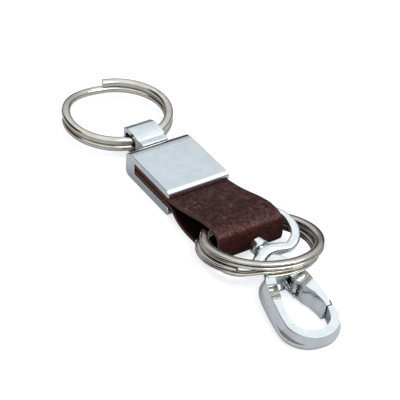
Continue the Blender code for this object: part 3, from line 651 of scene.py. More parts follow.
def shade(obj, sharp=35.0, weighted=True):
    """Smooth shading up to the sharp angle, with large faces kept flat if it is weighted."""
    obj.data.shade_smooth()
    obj.data.set_sharp_from_angle(angle=math.radians(sharp))
    if weighted:
        modifier = obj.modifiers.new("Flat faces", "WEIGHTED_NORMAL")
        modifier.keep_sharp = True
        modifier.weight = 90
        apply_modifiers(obj)


def hand_over(obj, finish, body, nodes):
    """Gives a finished piece its finish and body, and hides the nodes of the model that it
    replaces.
    """
    obj.data.materials.clear()
    obj.data.materials.append(get_finish(finish))
    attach(obj, body)
    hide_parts(*nodes)


def dress_node(name, finish):
    """Gives a node of the model its finish."""
    obj = frame["nodes"][name]
    material = get_finish(finish)
    if obj.data.materials:
        for i in range(len(obj.data.materials)):
            obj.data.materials[i] = material
    else:
        obj.data.materials.append(material)


# Node trees


class Nodes:
    """Adds nodes to a tree and joins them up."""

    def __init__(self, tree):
        self.tree = tree

    def feed(self, node, inputs):
        """Sets a node's inputs, each to a value or to what another node puts out."""
        for key, value in inputs.items():
            if isinstance(value, bpy.types.NodeSocket):
                self.tree.links.new(value, node.inputs[key])
            else:
                node.inputs[key].default_value = value
        return node

    def add(self, kind, inputs=None, **settings):
        """A new node with its settings and its inputs."""
        node = self.tree.nodes.new(kind)
        for name, value in settings.items():
            setattr(node, name, value)
        return self.feed(node, inputs or {})

    def math(self, operation, *values):
        """The result of an operation, such as a sum, on the values."""
        return self.add("ShaderNodeMath", dict(enumerate(values)), operation=operation).outputs[0]

    def vector(self, x, y, z):
        """A vector of three values."""
        return self.add("ShaderNodeCombineXYZ", {0: x, 1: y, 2: z}).outputs[0]

    def smooth_step(self, value, low, high):
        """A smooth step from 0 to 1 as the value goes from low to high."""
        inputs = {"Value": value, "From Min": low, "From Max": high}
        node = self.add("ShaderNodeMapRange", inputs, interpolation_type="SMOOTHSTEP")
        return node.outputs["Result"]

    def remap(self, value, low, high, to_low, to_high):
        """The value, moved from the range low to high into another range and kept inside it."""
        inputs = {"Value": value, "From Min": low, "From Max": high, "To Min": to_low}
        inputs["To Max"] = to_high
        return self.add("ShaderNodeMapRange", inputs).outputs["Result"]

    def mix(self, factor, first, second):
        """A colour between two colours, each what a node puts out or three numbers."""
        inputs = {0: factor}
        for key, value in ((6, first), (7, second)):
            inputs[key] = value if isinstance(value, bpy.types.NodeSocket) else (*value, 1.0)
        return self.add("ShaderNodeMix", inputs, data_type="RGBA").outputs[2]

    def noise(self, where, size, detail=2.0, roughness=0.5, stretch=None):
        """Noise whose features are about the given size, in millimetres."""
        if stretch:
            where = self.add("ShaderNodeMapping", {"Vector": where, "Scale": stretch}).outputs[0]
        inputs = {"Vector": where, "Scale": 1 / (size * MM), "Detail": detail}
        inputs["Roughness"] = roughness
        return self.add("ShaderNodeTexNoise", inputs).outputs[0]


def flatten(nodes, value, flatness, size):
    """Half the size times the value, raised so that a circle turns into a flattened round."""
    raised = nodes.math("POWER", nodes.math("ABSOLUTE", value), flatness)
    signed = nodes.math("MULTIPLY", raised, nodes.math("SIGN", value))
    return nodes.math("MULTIPLY", signed, nodes.math("MULTIPLY", size, 0.5))


def wire_tree(name, path_sizes):
    """A tree that sweeps flat wire along a path. Gives the nodes, the tree's inputs, how far
    along the wire each point is, and a function that takes their places and finishes the tree."""
    tree = bpy.data.node_groups.new(name, "GeometryNodeTree")
    inputs = [("Points", "Int"), ("Material", "Material")]
    for label in ("Wire width", "Wire height", "Flatness", *path_sizes):
        inputs.append((label, "Float"))
    for label, kind in inputs:
        tree.interface.new_socket(label, in_out="INPUT", socket_type="NodeSocket" + kind)
    tree.interface.new_socket("Wire", in_out="OUTPUT", socket_type="NodeSocketGeometry")
    nodes = Nodes(tree)
    given = nodes.add("NodeGroupInput").outputs
    line = nodes.add("GeometryNodeCurvePrimitiveLine", {"End": (1.0, 0.0, 0.0)})
    resampled = {"Curve": line.outputs[0], "Count": given["Points"]}
    points = nodes.add("GeometryNodeResampleCurve", resampled)
    along = nodes.add("GeometryNodeSplineParameter").outputs["Factor"]

    def sweep(position):
        path = {"Geometry": points.outputs[0], "Position": position}
        placed = nodes.add("GeometryNodeSetPosition", path).outputs[0]
        upright = nodes.add("GeometryNodeSetCurveNormal", {"Curve": placed}, mode="Z_UP")
        circle = {"Resolution": WIRE_SIDES, "Radius": 1.0}
        round_wire = nodes.add("GeometryNodeCurvePrimitiveCircle", circle).outputs["Curve"]
        at = nodes.add("GeometryNodeInputPosition").outputs[0]
        across, up, _ = nodes.add("ShaderNodeSeparateXYZ", {0: at}).outputs
        x = flatten(nodes, across, given["Flatness"], given["Wire width"])
        y = flatten(nodes, up, given["Flatness"], given["Wire height"])
        shaped = {"Geometry": round_wire, "Position": nodes.vector(x, y, 0.0)}
        section = nodes.add("GeometryNodeSetPosition", shaped).outputs[0]
        swept = {"Curve": upright.outputs[0], "Profile Curve": section, "Fill Caps": True}
        wire = nodes.add("GeometryNodeCurveToMesh", swept).outputs[0]
        whole = nodes.add("GeometryNodeRealizeInstances", {"Geometry": wire}).outputs[0]
        dressed = {"Geometry": whole, "Material": given["Material"]}
        made = nodes.add("GeometryNodeSetMaterial", dressed).outputs[0]
        nodes.add("NodeGroupOutput", {0: made})
        return tree

    return nodes, given, along, sweep


def split_ring_tree():
    """Two turns of flat wire, the lower one climbing to the upper one in the ramp."""
    nodes, given, along, sweep = wire_tree("Split ring", ["Radius", "Rise", "Start", "Ramp"])
    full = 2 * math.pi
    turned_by = nodes.math("MULTIPLY", along, nodes.math("SUBTRACT", 2 * full, given["Ramp"]))
    foot = nodes.math("SUBTRACT", full, given["Ramp"])
    level = nodes.math("SUBTRACT", nodes.smooth_step(turned_by, foot, full), 0.5)
    turn = nodes.math("ADD", turned_by, given["Start"])
    middle = nodes.math("MULTIPLY_ADD", given["Wire width"], -0.5, given["Radius"])
    x = nodes.math("MULTIPLY", nodes.math("COSINE", turn), middle)
    y = nodes.math("MULTIPLY", nodes.math("SINE", turn), middle)
    return sweep(nodes.vector(x, y, nodes.math("MULTIPLY", level, given["Rise"])))


def coil_tree():
    """A coil of round wire whose ends run on straight as two legs."""
    path_sizes = ["Radius", "Pitch", "Turn", "First", "Leg"]
    nodes, given, along, sweep = wire_tree("Coil spring", path_sizes)
    radius, leg = given["Radius"], given["Leg"]
    run = nodes.math("MULTIPLY", radius, given["Turn"])
    whole = nodes.math("MULTIPLY_ADD", leg, 2.0, run)
    at = nodes.math("SUBTRACT", nodes.math("MULTIPLY", along, whole), leg)
    turn = nodes.math("DIVIDE", nodes.math("MINIMUM", nodes.math("MAXIMUM", at, 0.0), run), radius)
    past = nodes.math("SUBTRACT", at, nodes.math("MULTIPLY", turn, radius))
    facing = nodes.math("ADD", turn, given["First"])
    cosine, sine = nodes.math("COSINE", facing), nodes.math("SINE", facing)
    out_x = nodes.math("MULTIPLY", cosine, radius)
    out_y = nodes.math("MULTIPLY", sine, radius)
    x = nodes.math("SUBTRACT", out_x, nodes.math("MULTIPLY", sine, past))
    y = nodes.math("ADD", out_y, nodes.math("MULTIPLY", cosine, past))
    climb = nodes.math("MULTIPLY", turn, given["Pitch"])
    height = nodes.math("DIVIDE", climb, 2 * math.pi)
    return sweep(nodes.vector(x, y, height))


def wire_from_tree(name, tree, values, matrix):
    """Runs a wire tree with the given inputs and makes the result a plain mesh in its place."""
    obj = bpy.data.objects.new(name, bpy.data.meshes.new(name))
    bpy.context.scene.collection.objects.link(obj)
    modifier = obj.modifiers.new("Wire", "NODES")
    modifier.node_group = tree
    for item in tree.interface.items_tree:
        if item.item_type == "SOCKET" and item.in_out == "INPUT":
            modifier[item.identifier] = values[item.name]
    apply_modifiers(obj)
    in_metres = matrix.copy()
    in_metres.translation *= MM
    obj.data.transform(in_metres)
    return obj


# Finishes


def new_material(name):
    """A material with its nodes and its shader."""
    material = bpy.data.materials.new(name)
    material.use_nodes = True
    return material, Nodes(material.node_tree), material.node_tree.nodes["Principled BSDF"]


def metal_finish(name, base, least_rough, wave, scratched, tint):
    """Polished plating: slightly wavy, clouded and finely scratched."""
    material, nodes, shader = new_material(name)
    where = nodes.add("ShaderNodeTexCoord").outputs["Object"]
    cloud = nodes.noise(where, 3.4, 5.0, 0.6)
    dark = tuple(channel * CLOUD_SHADE * shift for channel, shift in zip(base, tint))
    smear = nodes.noise(where, 0.9, 3.0, 0.6)
    slow = nodes.noise(where, 4.5, 1.0)
    scratch = nodes.noise(where, 0.22, 2.0, 0.7, stretch=(1.0, 0.12, 1.0))
    height = nodes.math("MULTIPLY_ADD", scratch, scratched, nodes.math("MULTIPLY", slow, wave))
    bump = {"Height": height, "Strength": 1.0, "Distance": 0.1 * MM}
    nodes.feed(shader, {
        "Base Color": nodes.mix(nodes.smooth_step(cloud, 0.35, 0.65), dark, tuple(base)),
        "Metallic": 1.0,
        "Roughness": nodes.remap(smear, 0.3, 0.75, least_rough, least_rough + ROUGHER),
        "Normal": nodes.add("ShaderNodeBump", bump).outputs[0],
    })
    return material


def leather_wear_and_sheen(nodes, where, bent, fine, worn):
    """How pale the grain is: scuffed in streaks, patches and specks, and lifted where the mark of
    edge wear and painted sheen is high.
    """
    patch = nodes.smooth_step(nodes.noise(where, 4.2, 3.0, 0.6), 0.42, 0.62)
    streak = nodes.noise(bent, 0.7, 4.0, 0.7, stretch=(1.0, 0.25, 0.6))
    rubbed_and_lit = nodes.math("MAXIMUM", nodes.math("MULTIPLY", patch, 0.5), worn)
    speck = nodes.math("MULTIPLY", nodes.smooth_step(fine, 0.48, 0.64), worn)
    specks = nodes.math("MULTIPLY", speck, 0.35)
    pale = nodes.math("MULTIPLY_ADD", nodes.smooth_step(streak, 0.46, 0.60), rubbed_and_lit, specks)
    # The mark also adds a painted sheen of its own, and the whole is kept under 0.8
    return nodes.math("MINIMUM", nodes.math("MULTIPLY_ADD", worn, 0.22, pale), 0.8)


def leather_finish(name, finish):
    """Pebbled leather with scuffed tops and a painted sheen on tight bends, dark creases, plain cut
    edges, painted shade on the loop's front, and a rough flesh side painted nearly black as painted
    shade.
    """
    material, nodes, shader = new_material(name)
    where = nodes.add("ShaderNodeTexCoord").outputs["Object"]
    cut, flesh, worn, front = (
        nodes.add("ShaderNodeAttribute", attribute_name=mark).outputs["Fac"] for mark in STRAP_MARKS
    )
    slow = {"Vector": where, "Scale": DRIFT_CELLS, "Detail": 3.0}
    drift = {0: nodes.add("ShaderNodeTexNoise", slow).outputs["Color"], "Scale": 2.2 * MM}
    nudge = nodes.add("ShaderNodeVectorMath", drift, operation="SCALE").outputs[0]
    bent = nodes.add("ShaderNodeVectorMath", {0: where, 1: nudge}).outputs[0]
    cells = {"Vector": bent, "Scale": WRINKLE_CELLS}
    wrinkle = nodes.add("ShaderNodeTexVoronoi", cells, feature="DISTANCE_TO_EDGE").outputs[0]
    cells = {"Vector": bent, "Scale": PEBBLE_CELLS, "Smoothness": 0.4}
    pebble = nodes.add("ShaderNodeTexVoronoi", cells, feature="SMOOTH_F1").outputs["Distance"]
    fine = nodes.noise(where, 0.16, 3.0, 0.7)

    mottle = nodes.smooth_step(nodes.noise(bent, 1.6, 5.0, 0.75), 0.38, 0.60)
    deep = tuple(0.30 * channel for channel in finish.leather)
    tone = nodes.mix(mottle, deep, tuple(finish.leather))
    # Painted shade: the loop's front face turns darker and redder
    tone = nodes.mix(nodes.math("MULTIPLY", front, 0.6), tone, tuple(finish.front))
    # Paleness of scuffed grain with the painted sheen of tight bends, kept off the front
    pale = leather_wear_and_sheen(nodes, where, bent, fine, worn)
    pale = nodes.math("MULTIPLY", pale, nodes.math("SUBTRACT", 1.0, front))
    tone = nodes.mix(pale, tone, tuple(finish.bloom))
    crease = nodes.math("SUBTRACT", 1.0, nodes.smooth_step(wrinkle, 0.0, 0.20))
    # Creases fade where the grain is scuffed and where the sheen is painted
    crease = nodes.math("MULTIPLY", crease, nodes.remap(worn, 0.0, 1.0, 0.62, 0.20))
    tone = nodes.mix(crease, tone, tuple(finish.crease))
    tone = nodes.mix(cut, tone, tuple(finish.cut_edge))
    # Painted shade: the flesh side, inside the loop, is made nearly as dark as the creases
    tone = nodes.mix(nodes.math("MULTIPLY", flesh, 0.85), tone, tuple(finish.crease))

    rough = nodes.remap(pebble, 0.1, 0.8, 0.44, 0.70)
    raised = nodes.math("SUBTRACT", 1.0, pebble)
    relief = nodes.math("MULTIPLY_ADD", wrinkle, 1.6, raised)
    relief = nodes.math("MULTIPLY_ADD", fine, 0.25, relief)
    bump = {"Height": relief, "Strength": 0.9, "Distance": 0.17 * MM}
    nodes.feed(shader, {
        "Base Color": tone,
        "Roughness": nodes.math("MULTIPLY_ADD", flesh, 0.2, rough),
        "Specular IOR Level": 0.13,
        "Normal": nodes.add("ShaderNodeBump", bump).outputs[0],
    })
    return material


def get_finish(name):
    """A finish by name, made when it is first asked for."""
    found = bpy.data.materials.get(name)
    if found:
        return found
    finish = bpy.context.scene.key_ring.finish
    if name not in METALS:
        return leather_finish(name, finish)
    base, polish, wave, scratched, tint = METALS[name]
    return metal_finish(name, getattr(finish, base), getattr(finish, polish), wave, scratched, tint)


# Clamp, strap and bail


def clamp_shape(s):
    """The clamp's side view, extruded across, with the holes for its pin and the bail's post."""
    c = s.clamp
    top = s.clamp_top
    lip = (s.mouth + c.mouth_round, top - c.mouth_round)
    outline = arc(lip, c.mouth_round, 90, 180, 8)
    outline += [(s.mouth, s.slot_top), (s.slot_end, s.slot_top), (s.slot_end, c.lower_jaw)]
    tip = (s.mouth + c.tip_round, c.lower_jaw - c.tip_round)
    outline += arc(tip, c.tip_round, 90, 180, 10)
    outline += arc((tip[0], c.tip_round), c.tip_round, 180, 270, 10)
    outline += arc((s.rear - c.rear_round, c.rear_round), c.rear_round, 270, 360, 14)
    turned_down = 90 - c.crown_turn
    step = (c.crown - c.rear_bevel) * math.cos(math.radians(turned_down))
    rise = (c.crown - c.rear_bevel) * math.sin(math.radians(turned_down))
    crown_centre = (s.rear - c.rear_bevel - step, top - c.crown)
    bevel_centre = (s.rear - c.rear_bevel, crown_centre[1] + rise)
    outline += arc(bevel_centre, c.rear_bevel, 0, turned_down, 9)
    outline += arc(crown_centre, c.crown, turned_down, 90, 12)[1:]
    half = s.strap.width / 2 + c.overhang
    clamp = new_solid("clamp", prism(outline, 0, -half, half))
    soften_edges(clamp, c.edge, 4, 30.0)
    centre = (0.0, s.post_height)
    bore, seat = POST_RADIUS + POST_FIT, POST_HEAD_RADIUS + POST_FIT
    start = s.slot_end - OVERCUT / 2
    carve(clamp, cylinder(1, centre, bore, start, s.rear + OVERCUT))
    carve(clamp, cylinder(1, centre, seat, start, s.slot_end + POST_HEAD + GAP))
    pin = (0.0, s.mouth + c.pin_back)
    pin_end = s.slot_top + c.pin_depth + GAP
    carve(clamp, cylinder(2, pin, c.pin_radius + GAP, -OVERCUT, pin_end))
    return clamp


def strap_route(s):
    """Middle line of the leather in Y and Z, from its upper end round the loop to its lower.
    The slope holds shares of the reach and of the rise. The bend holds distances behind the
    front, and shares of the way from the floor to the crest."""
    start, mouth, reach = s.slot_end - GAP, s.mouth, s.strap.loop_reach
    crest = s.strap.loop_height - s.strap.thickness / 2
    floor = s.strap.thickness / 2
    front = s.loop_front + s.strap.thickness / 2
    upper, lower = s.upper_layer, s.lower_layer
    rise = crest - upper
    route = [(start, upper), ((start + mouth) / 2, upper), (mouth + 1.2, upper)]
    slope = [(0.115, 0.15), (0.28, 0.38), (0.44, 0.62), (0.6, 0.86), (0.72, 0.98)]
    route += [(mouth - reach * run, upper + rise * climb) for run, climb in slope]
    bend = [(5.0, 1.0), (2.4, 0.975), (0.65, 0.86), (0.1, 0.62), (0.1, 0.32), (1.1, 0.14)]
    route += [(front + inwards, floor + (crest - floor) * level) for inwards, level in bend]
    route += [(front + 3.6, floor + 0.25), (front + 6.5, floor), (front + 11.0, floor)]
    route += [(mouth - 8.2, floor), (mouth - 4.6, floor + 0.75), (mouth - 1.9, lower - 0.55)]
    return route + [(mouth + 0.6, lower), ((start + mouth) / 2, lower), (start, lower)]


def bend_at(path, i):
    """How strongly a path bends at a point, from 0 where it is straight to 1 in a tight bend."""
    reach = STRAP_STEPS // 2
    first, last = path[max(i - reach, 0)], path[min(i + reach, len(path) - 1)]
    before, after = path[i] - first, last - path[i]
    if before.length < 1e-6 or after.length < 1e-6:
        return 0.0
    return ease(before.angle(after) / (before.length + after.length) / TIGHT_BEND)


def strap_section(s):
    """The strap's section as across and up coordinates, with rounded edges."""
    half, thick = s.strap.width / 2, s.strap.thickness / 2
    edge = EDGE_SHARE * thick
    flat = [half - edge - 2 * (half - edge) * i / STRAP_COLUMNS for i in range(STRAP_COLUMNS + 1)]
    rounded = arc((half - edge, thick - edge), edge, 0.0, 67.5, 3)
    top = rounded + [(x, thick) for x in flat] + [(-x, z) for x, z in reversed(rounded)]
    return top + [(-x, -z) for x, z in top]


def strap_lift(s, row, x, z, point):
    """How far the slow waves, the bow of the width and the pebbles lift a point."""
    place = Vector((x * WAVES_ACROSS, point.x * WAVES_ALONG, WAVE_START + WAVE_DRIFT * row))
    bow = -BOW_SHARE * s.strap.sway * (2 * abs(x) / s.strap.width) ** BOW_POWER
    grain = noise.noise(Vector((x, point.x, point.y)) * PEBBLES) * s.strap.pebble
    return noise.noise(place) * s.strap.sway + bow + grain * (1.0 if z > 0 else FLESH_PEBBLE)


def strap_marks(s, x, z, bend, facing):
    """How far a point is cut edge, flesh side, grain with edge wear and a painted sheen on tight
    bends, and front of the loop, where shade is painted.
    """
    half, thick = s.strap.width / 2, s.strap.thickness / 2
    face = FACE_LEVEL * thick
    on_edge = abs(x) > half - CUT_REACH * EDGE_SHARE * thick and abs(z) < face
    rim = RIM_WEAR * ease((abs(x) - half + RIM_WIDTH) / RIM_WIDTH)
    # Edge wear on the rims joins the painted sheen of tight bends, and the front gets painted shade
    # instead
    worn = min(1.0, bend + rim) * (1 - facing)
    grain_side = 1.0 if z > 0 else 0.0
    return float(on_edge), float(z < -face), grain_side * worn, grain_side * facing


def strap_shape(s):
    """The strap as fine rows across its width, waved and pebbled where it is free."""
    section = strap_section(s)
    path = smooth_path(strap_route(s), STRAP_STEPS)
    bm = bmesh.new()
    layers = [bm.verts.layers.float.new(mark) for mark in STRAP_MARKS]
    rows = []
    for i, point in enumerate(path):
        before, after = path[max(i - 1, 0)], path[min(i + 1, len(path) - 1)]
        along = (after - before).normalized()
        out = Vector((along.y, -along.x))
        past_mouth = s.mouth - point.x
        free = ease((past_mouth - FREE_FROM) / FREE_OVER)
        near_front = ease((past_mouth - FLARE_FROM) / (s.strap.loop_reach - FLARE_FROM))
        # How far the loop faces forwards, for painted shade, and how tightly it bends, for a
        # painted sheen
        facing = ease((-out.x - FRONT_FROM) / FRONT_OVER)
        bend = bend_at(path, i)
        row = []
        for x, z in section:
            spread = s.strap.flare * near_front * max(2 * x / s.strap.width, 0.0)
            at = point + out * (z + free * strap_lift(s, i, x, z, point))
            vert = bm.verts.new((x + spread, at.x, at.y))
            for layer, value in zip(layers, strap_marks(s, x, z, bend, facing)):
                vert[layer] = value
            row.append(vert)
        rows.append(row)
    for first, second in zip(rows, rows[1:]):
        bridge(bm, first, second)
    bm.faces.new(rows[0])
    bm.faces.new(rows[-1])
    strap = new_solid("leather_loop", bm)
    pin = (0.0, s.mouth + s.clamp.pin_back)
    carve(strap, cylinder(2, pin, s.clamp.pin_radius + GAP, s.clamp.lower_jaw, s.slot_top))
    return strap


def bail_outline(b, front, back, up):
    """The bail's side view: underside, sloping rear, and a crown of three flat facets. Plain
    numbers say how far its corners lie from the underside and from the top."""
    outline = [(front, 0.15 - up), (back - b.slope, -up), (back - 0.3 * b.slope, 0.6 - up)]
    outline += [(back, 1.6 - up), (back, up - 0.55), (back - b.crown_run, up + 0.17)]
    return outline + [(front + b.crown_run, up + 0.12), (front, up - 0.35)]


def bail_shape(s):
    """The bail in its post's frame, whose Y axis is the swivel and whose zero is the clamp."""
    b = s.bail
    front = GAP + b.neck
    start = front + b.wall
    end = start + b.hole_length
    low = b.hole_height / 2
    up = low + b.wall - b.thin
    half, half_neck = b.width / 2, b.neck_width / 2
    place = Matrix.Translation(Vector((0, s.rear, s.post_height)))
    outline = bail_outline(b, front, end + b.wall, up)
    bail = new_solid("bail_loop", prism(outline, 0, -half, half), place)
    neck_low = (-half_neck, GAP, b.neck_rise - up)
    neck_high = (half_neck, front + b.neck_root, up - b.neck_drop)
    carve(bail, box(neck_low, neck_high), place, "UNION")
    corner = low - b.hole_drop - b.hole_round
    hole = [(start, -low), (end, -low)]
    hole += arc((end - b.hole_round, corner), b.hole_round, 0, 90, 6)
    hole += arc((start + b.hole_round, corner), b.hole_round, 90, 180, 6)
    carve(bail, prism(hole, 0, -half - OVERCUT, half + OVERCUT), place)
    radius, bore_end = POST_RADIUS + POST_FIT, start - b.bore_wall
    carve(bail, cylinder(1, (0.0, 0.0), radius, GAP - OVERCUT, bore_end), place)
    soften_edges(bail, b.edge, 4, 17.0)
    return bail


# Rings


def split_ring_plans(s):
    """Every split ring, with its wire and its place."""
    r = s.rings
    wire_y = s.hole_start + r.wire_place * s.bail.hole_length
    main = Matrix.Translation(Vector((0, wire_y, s.post_height - r.wire_drop)))
    main @= Matrix.Rotation(math.radians(r.main_yaw), 4, "Z")
    main @= Matrix.Rotation(math.radians(r.main_tilt), 4, "X")
    main @= Matrix.Translation(Vector((0, r.main_radius - r.main_width / 2, 0)))
    tilt = Matrix.Rotation(math.radians(r.roll), 4, "Y")
    tilt @= Matrix.Rotation(math.radians(r.pitch), 4, "X")
    stack = 2 * r.loop_height + r.turn_gap
    low_rim = Vector((LOW_RIM[0] * r.loop_radius, LOW_RIM[1] * r.loop_radius, -stack / 2))
    rest = s.strap.thickness + r.seat - (tilt @ low_rim).z
    lower = Vector((r.lower_aside, s.loop_front - r.offset, rest))
    upper = lower + tilt @ Vector((r.stack_aside, -r.stack_ahead, stack + r.stack_gap))
    big = (r.main_radius, r.main_width, r.main_height, r.main_start, r.main_ramp)
    small = (r.loop_radius, r.loop_width, r.loop_height)
    places = [Matrix.Translation(centre) @ tilt for centre in (upper, lower)]
    starts = (r.upper_start, r.lower_start)
    plans = [RingPlan("big_ring", "main_ring", "main_split_ring", *big, main)]
    for level, start, place in zip(("upper", "lower"), starts, places):
        names = (level + "_ring", level + "_ring", "loop_ring_" + level)
        plans.append(RingPlan(*names, *small, start, r.loop_ramp, place))
    return plans


def split_ring(tree, plan, r):
    """One split ring. Its wire fills the pitch of its turns but for a fine gap."""
    full_height = plan.height + (r.turn_gap - r.fine_gap) / 2
    values = {
        "Points": RING_POINTS,
        "Radius": plan.radius * MM,
        "Wire width": plan.width * MM,
        "Wire height": full_height * MM,
        "Flatness": r.flatness,
        "Rise": (full_height + r.fine_gap) * MM,
        "Start": math.radians(plan.start),
        "Ramp": math.radians(plan.ramp),
        "Material": get_finish("Ring nickel"),
    }
    return wire_from_tree(plan.name, tree, values, plan.place)


# Clasp


def eye_shape(s):
    """The eye in the swivel's frame. Its front arches back over the hook's neck. Each point of
    its right side holds its place aside and back, and the width and height of the band there."""
    c = s.clasp
    wide = s.strap.width / 2 + c.eye_gap + c.eye_band / 2
    deep, front, foot = c.eye_depth, c.eye_front, c.eye_foot
    thin = c.eye_height
    side = [
        (0.0, c.eye_arch - foot + 0.35, front + 0.9, thin + 2.2),
        (0.14 * wide, 0.93 * c.eye_arch - foot + 0.3, front + 0.8, thin + 1.9),
        (0.30 * wide, 0.55 * c.eye_arch - foot + 0.15, front + 0.4, thin + 0.9),
        (0.48 * wide, -foot, front, thin + 0.2),
        (0.66 * wide, 0.05 * deep - foot, front, thin),
        (0.82 * wide, 0.17 * deep - foot, 0.92 * front, thin),
        (0.94 * wide, 0.38 * deep - foot, 0.92 * front, thin),
        (wide, 0.62 * deep, c.eye_band, thin),
        (0.97 * wide, 0.84 * deep, c.eye_band, thin),
        (0.86 * wide, 0.965 * deep, c.eye_band, thin),
        (0.66 * wide, deep, c.eye_band, thin),
        (0.33 * wide, deep, c.eye_band, thin),
        (0.0, deep, c.eye_band, thin),
    ]
    knots = side + [(-x, *rest) for x, *rest in reversed(side[1:-1])]
    path = smooth_path(knots, 8, closed=True)
    sections = []
    for i, point in enumerate(path):
        before, after = path[i - 1], path[(i + 1) % len(path)]
        along = Vector((after.x - before.x, after.y - before.y)).normalized()
        out = Vector((along.y, -along.x, 0))
        centre = Vector((point.x, point.y, 0))
        section = rounded_section(point.z, point.w, EYE_ROUNDING * point.w, 6)
        sections.append([centre + out * x + Vector((0, 0, z)) for x, z in section])
    eye = new_solid("clasp_eye_ring", loft(sections, closed=True), s.eye_matrix)
    bore = cylinder(1, (0.0, 0.0), c.rivet_radius + c.rivet_play, -c.boss_back, 2 * c.boss_back)
    carve(eye, bore, s.eye_matrix)
    return eye


def rivet_shape(s):
    """The rivet in the swivel's frame, with its round-edged head inside the eye."""
    c = s.clasp
    seat = c.boss_back + GAP
    top = seat + c.rivet_head
    edge = 0.22 * c.rivet_head
    low_edge = 0.08 * c.rivet_head
    radius = c.rivet_head_radius
    end = -c.hook_start - c.rivet_grip
    profile = [(0.0, top)] + arc((radius - edge, top - edge), edge, 90, 0, 8)
    profile += arc((radius - low_edge, seat + low_edge), low_edge, 0, -90, 3)
    profile += [(c.rivet_radius, seat), (c.rivet_radius, end), (0.0, end)]
    return new_solid("swivel_pin", turned(profile), s.eye_matrix)


def hook_outline(c):
    """The hook's whole top face, as distance aside and ahead of the swivel: the neck's round
    end, the waist, the shoulder, the side that widens on, and the round tip. Plain numbers are
    distances from the neck's rounding and from where the shoulder is widest."""
    neck = c.hook_start + c.neck_radius
    centre = c.tip_ahead - c.half_width
    right = arc((0.0, neck), c.neck_radius, -90, 0, 6)
    right += [(c.neck_radius + 0.2, neck + 1.4), (0.76 * c.shoulder, c.shoulder_ahead - 2.6)]
    right += [(c.shoulder - 0.35, c.shoulder_ahead - 1.0)]
    grown = c.half_width - c.shoulder
    for part in (0.1, 0.3, 0.55, 0.8):
        ahead = c.shoulder_ahead + (centre - c.shoulder_ahead) * part
        right.append((c.shoulder + grown * math.sin(part * math.pi / 2), ahead))
    right += arc((0.0, centre), c.half_width, 0, 90, 10)
    whole = right + [(-x, ahead) for x, ahead in reversed(right[1:-1])]
    return smooth_path(whole, 4, closed=True)


def hook_bottom(c, ahead):
    """Depth of the underside, which lies level although the top face slopes."""
    if ahead < c.shoulder_ahead:
        part = ease((ahead - c.shoulder_ahead / 2) / (c.shoulder_ahead / 2))
        return c.neck_bottom + (c.bottom - c.neck_bottom) * part
    part = (ahead - c.shoulder_ahead) / (c.tip_ahead - c.shoulder_ahead)
    return c.bottom + (c.tip_bottom - c.bottom) * part


def hook_blank(c):
    """The hook and its gate in one piece: the outline lofted through levels that bulge."""
    outline = hook_outline(c)
    count = len(outline)
    levels = smooth_path(HOOK_LEVELS, 3)
    sections = []
    for level, bulge in levels:
        section = []
        for i, at in enumerate(outline):
            before, after = outline[i - 1], outline[(i + 1) % count]
            normal = Vector((after.y - before.y, before.x - after.x)).normalized()
            side = c.gate_bulge if normal.x > 0 else c.side_bulge
            most = c.tip_bulge + (side - c.tip_bulge) * abs(normal.x)
            past_neck = ease((at.y - NECK_END) / NECK_BLEND)
            grown = most * bulge * (NECK_BULGE + (1 - NECK_BULGE) * past_neck)
            height = level * (c.top if level > 0 else hook_bottom(c, at.y))
            moved = at + normal * grown
            section.append(Vector((moved.x, -moved.y, height)))
        sections.append(section)
    bm = loft(sections)
    bmesh.ops.triangulate(bm, faces=bm.faces)
    return bm


def plan_prism(outline, low, high):
    """A prism from an outline given as distance aside and ahead of the swivel."""
    return prism([(x, -ahead) for x, ahead in outline], 2, low, high)


def gate_outline(c, extra, lean):
    """Plan of the gate, grown by a gap where it meets the hook: its tip, its outer side, the
    knuckle round the pin, and its inner side, which leans inwards. Plain numbers are distances
    from the pin, and at the tip from the gate's end."""
    knuckle = c.knuckle + extra
    root = c.pivot_ahead - knuckle
    tip = c.gate_tip_ahead + extra
    outer = c.gate_tip_aside + extra
    wide = c.half_width + c.side_bulge + c.tip_bulge
    lap = outer + c.gate_lap * (tip - root)
    outline = [(outer, tip), (lap, c.pivot_ahead + 4.5), (wide, c.pivot_ahead + 3.0), (wide, root)]
    outline += [(c.pivot_aside, root)]
    outline += arc((c.pivot_aside, c.pivot_ahead), knuckle, -105, c.root_angle, 3)
    inner = c.gate_tip_aside - c.gate_tip_width
    outline += [(c.pivot_aside - 0.8 - extra, c.pivot_ahead + 0.5)]
    outline += [(c.pivot_aside + 0.2 - extra - lean / 2, c.pivot_ahead + 1.9)]
    outline += [(0.86 * inner - lean, c.pivot_ahead + 5.9)]
    return outline + [(inner - lean, c.gate_tip_ahead - 1.6), (inner - lean, tip)]


def gate_space(c, extra):
    """The gate's plan as a solid that leans from its top face to below its underside."""
    sections = []
    for level in (-2 * c.bottom, 2 * c.top):
        outline = gate_outline(c, extra, c.gate_lean * (c.top - level))
        sections.append([Vector((x, -ahead, level)) for x, ahead in outline])
    bm = loft(sections)
    bmesh.ops.triangulate(bm, faces=bm.faces)
    return bm


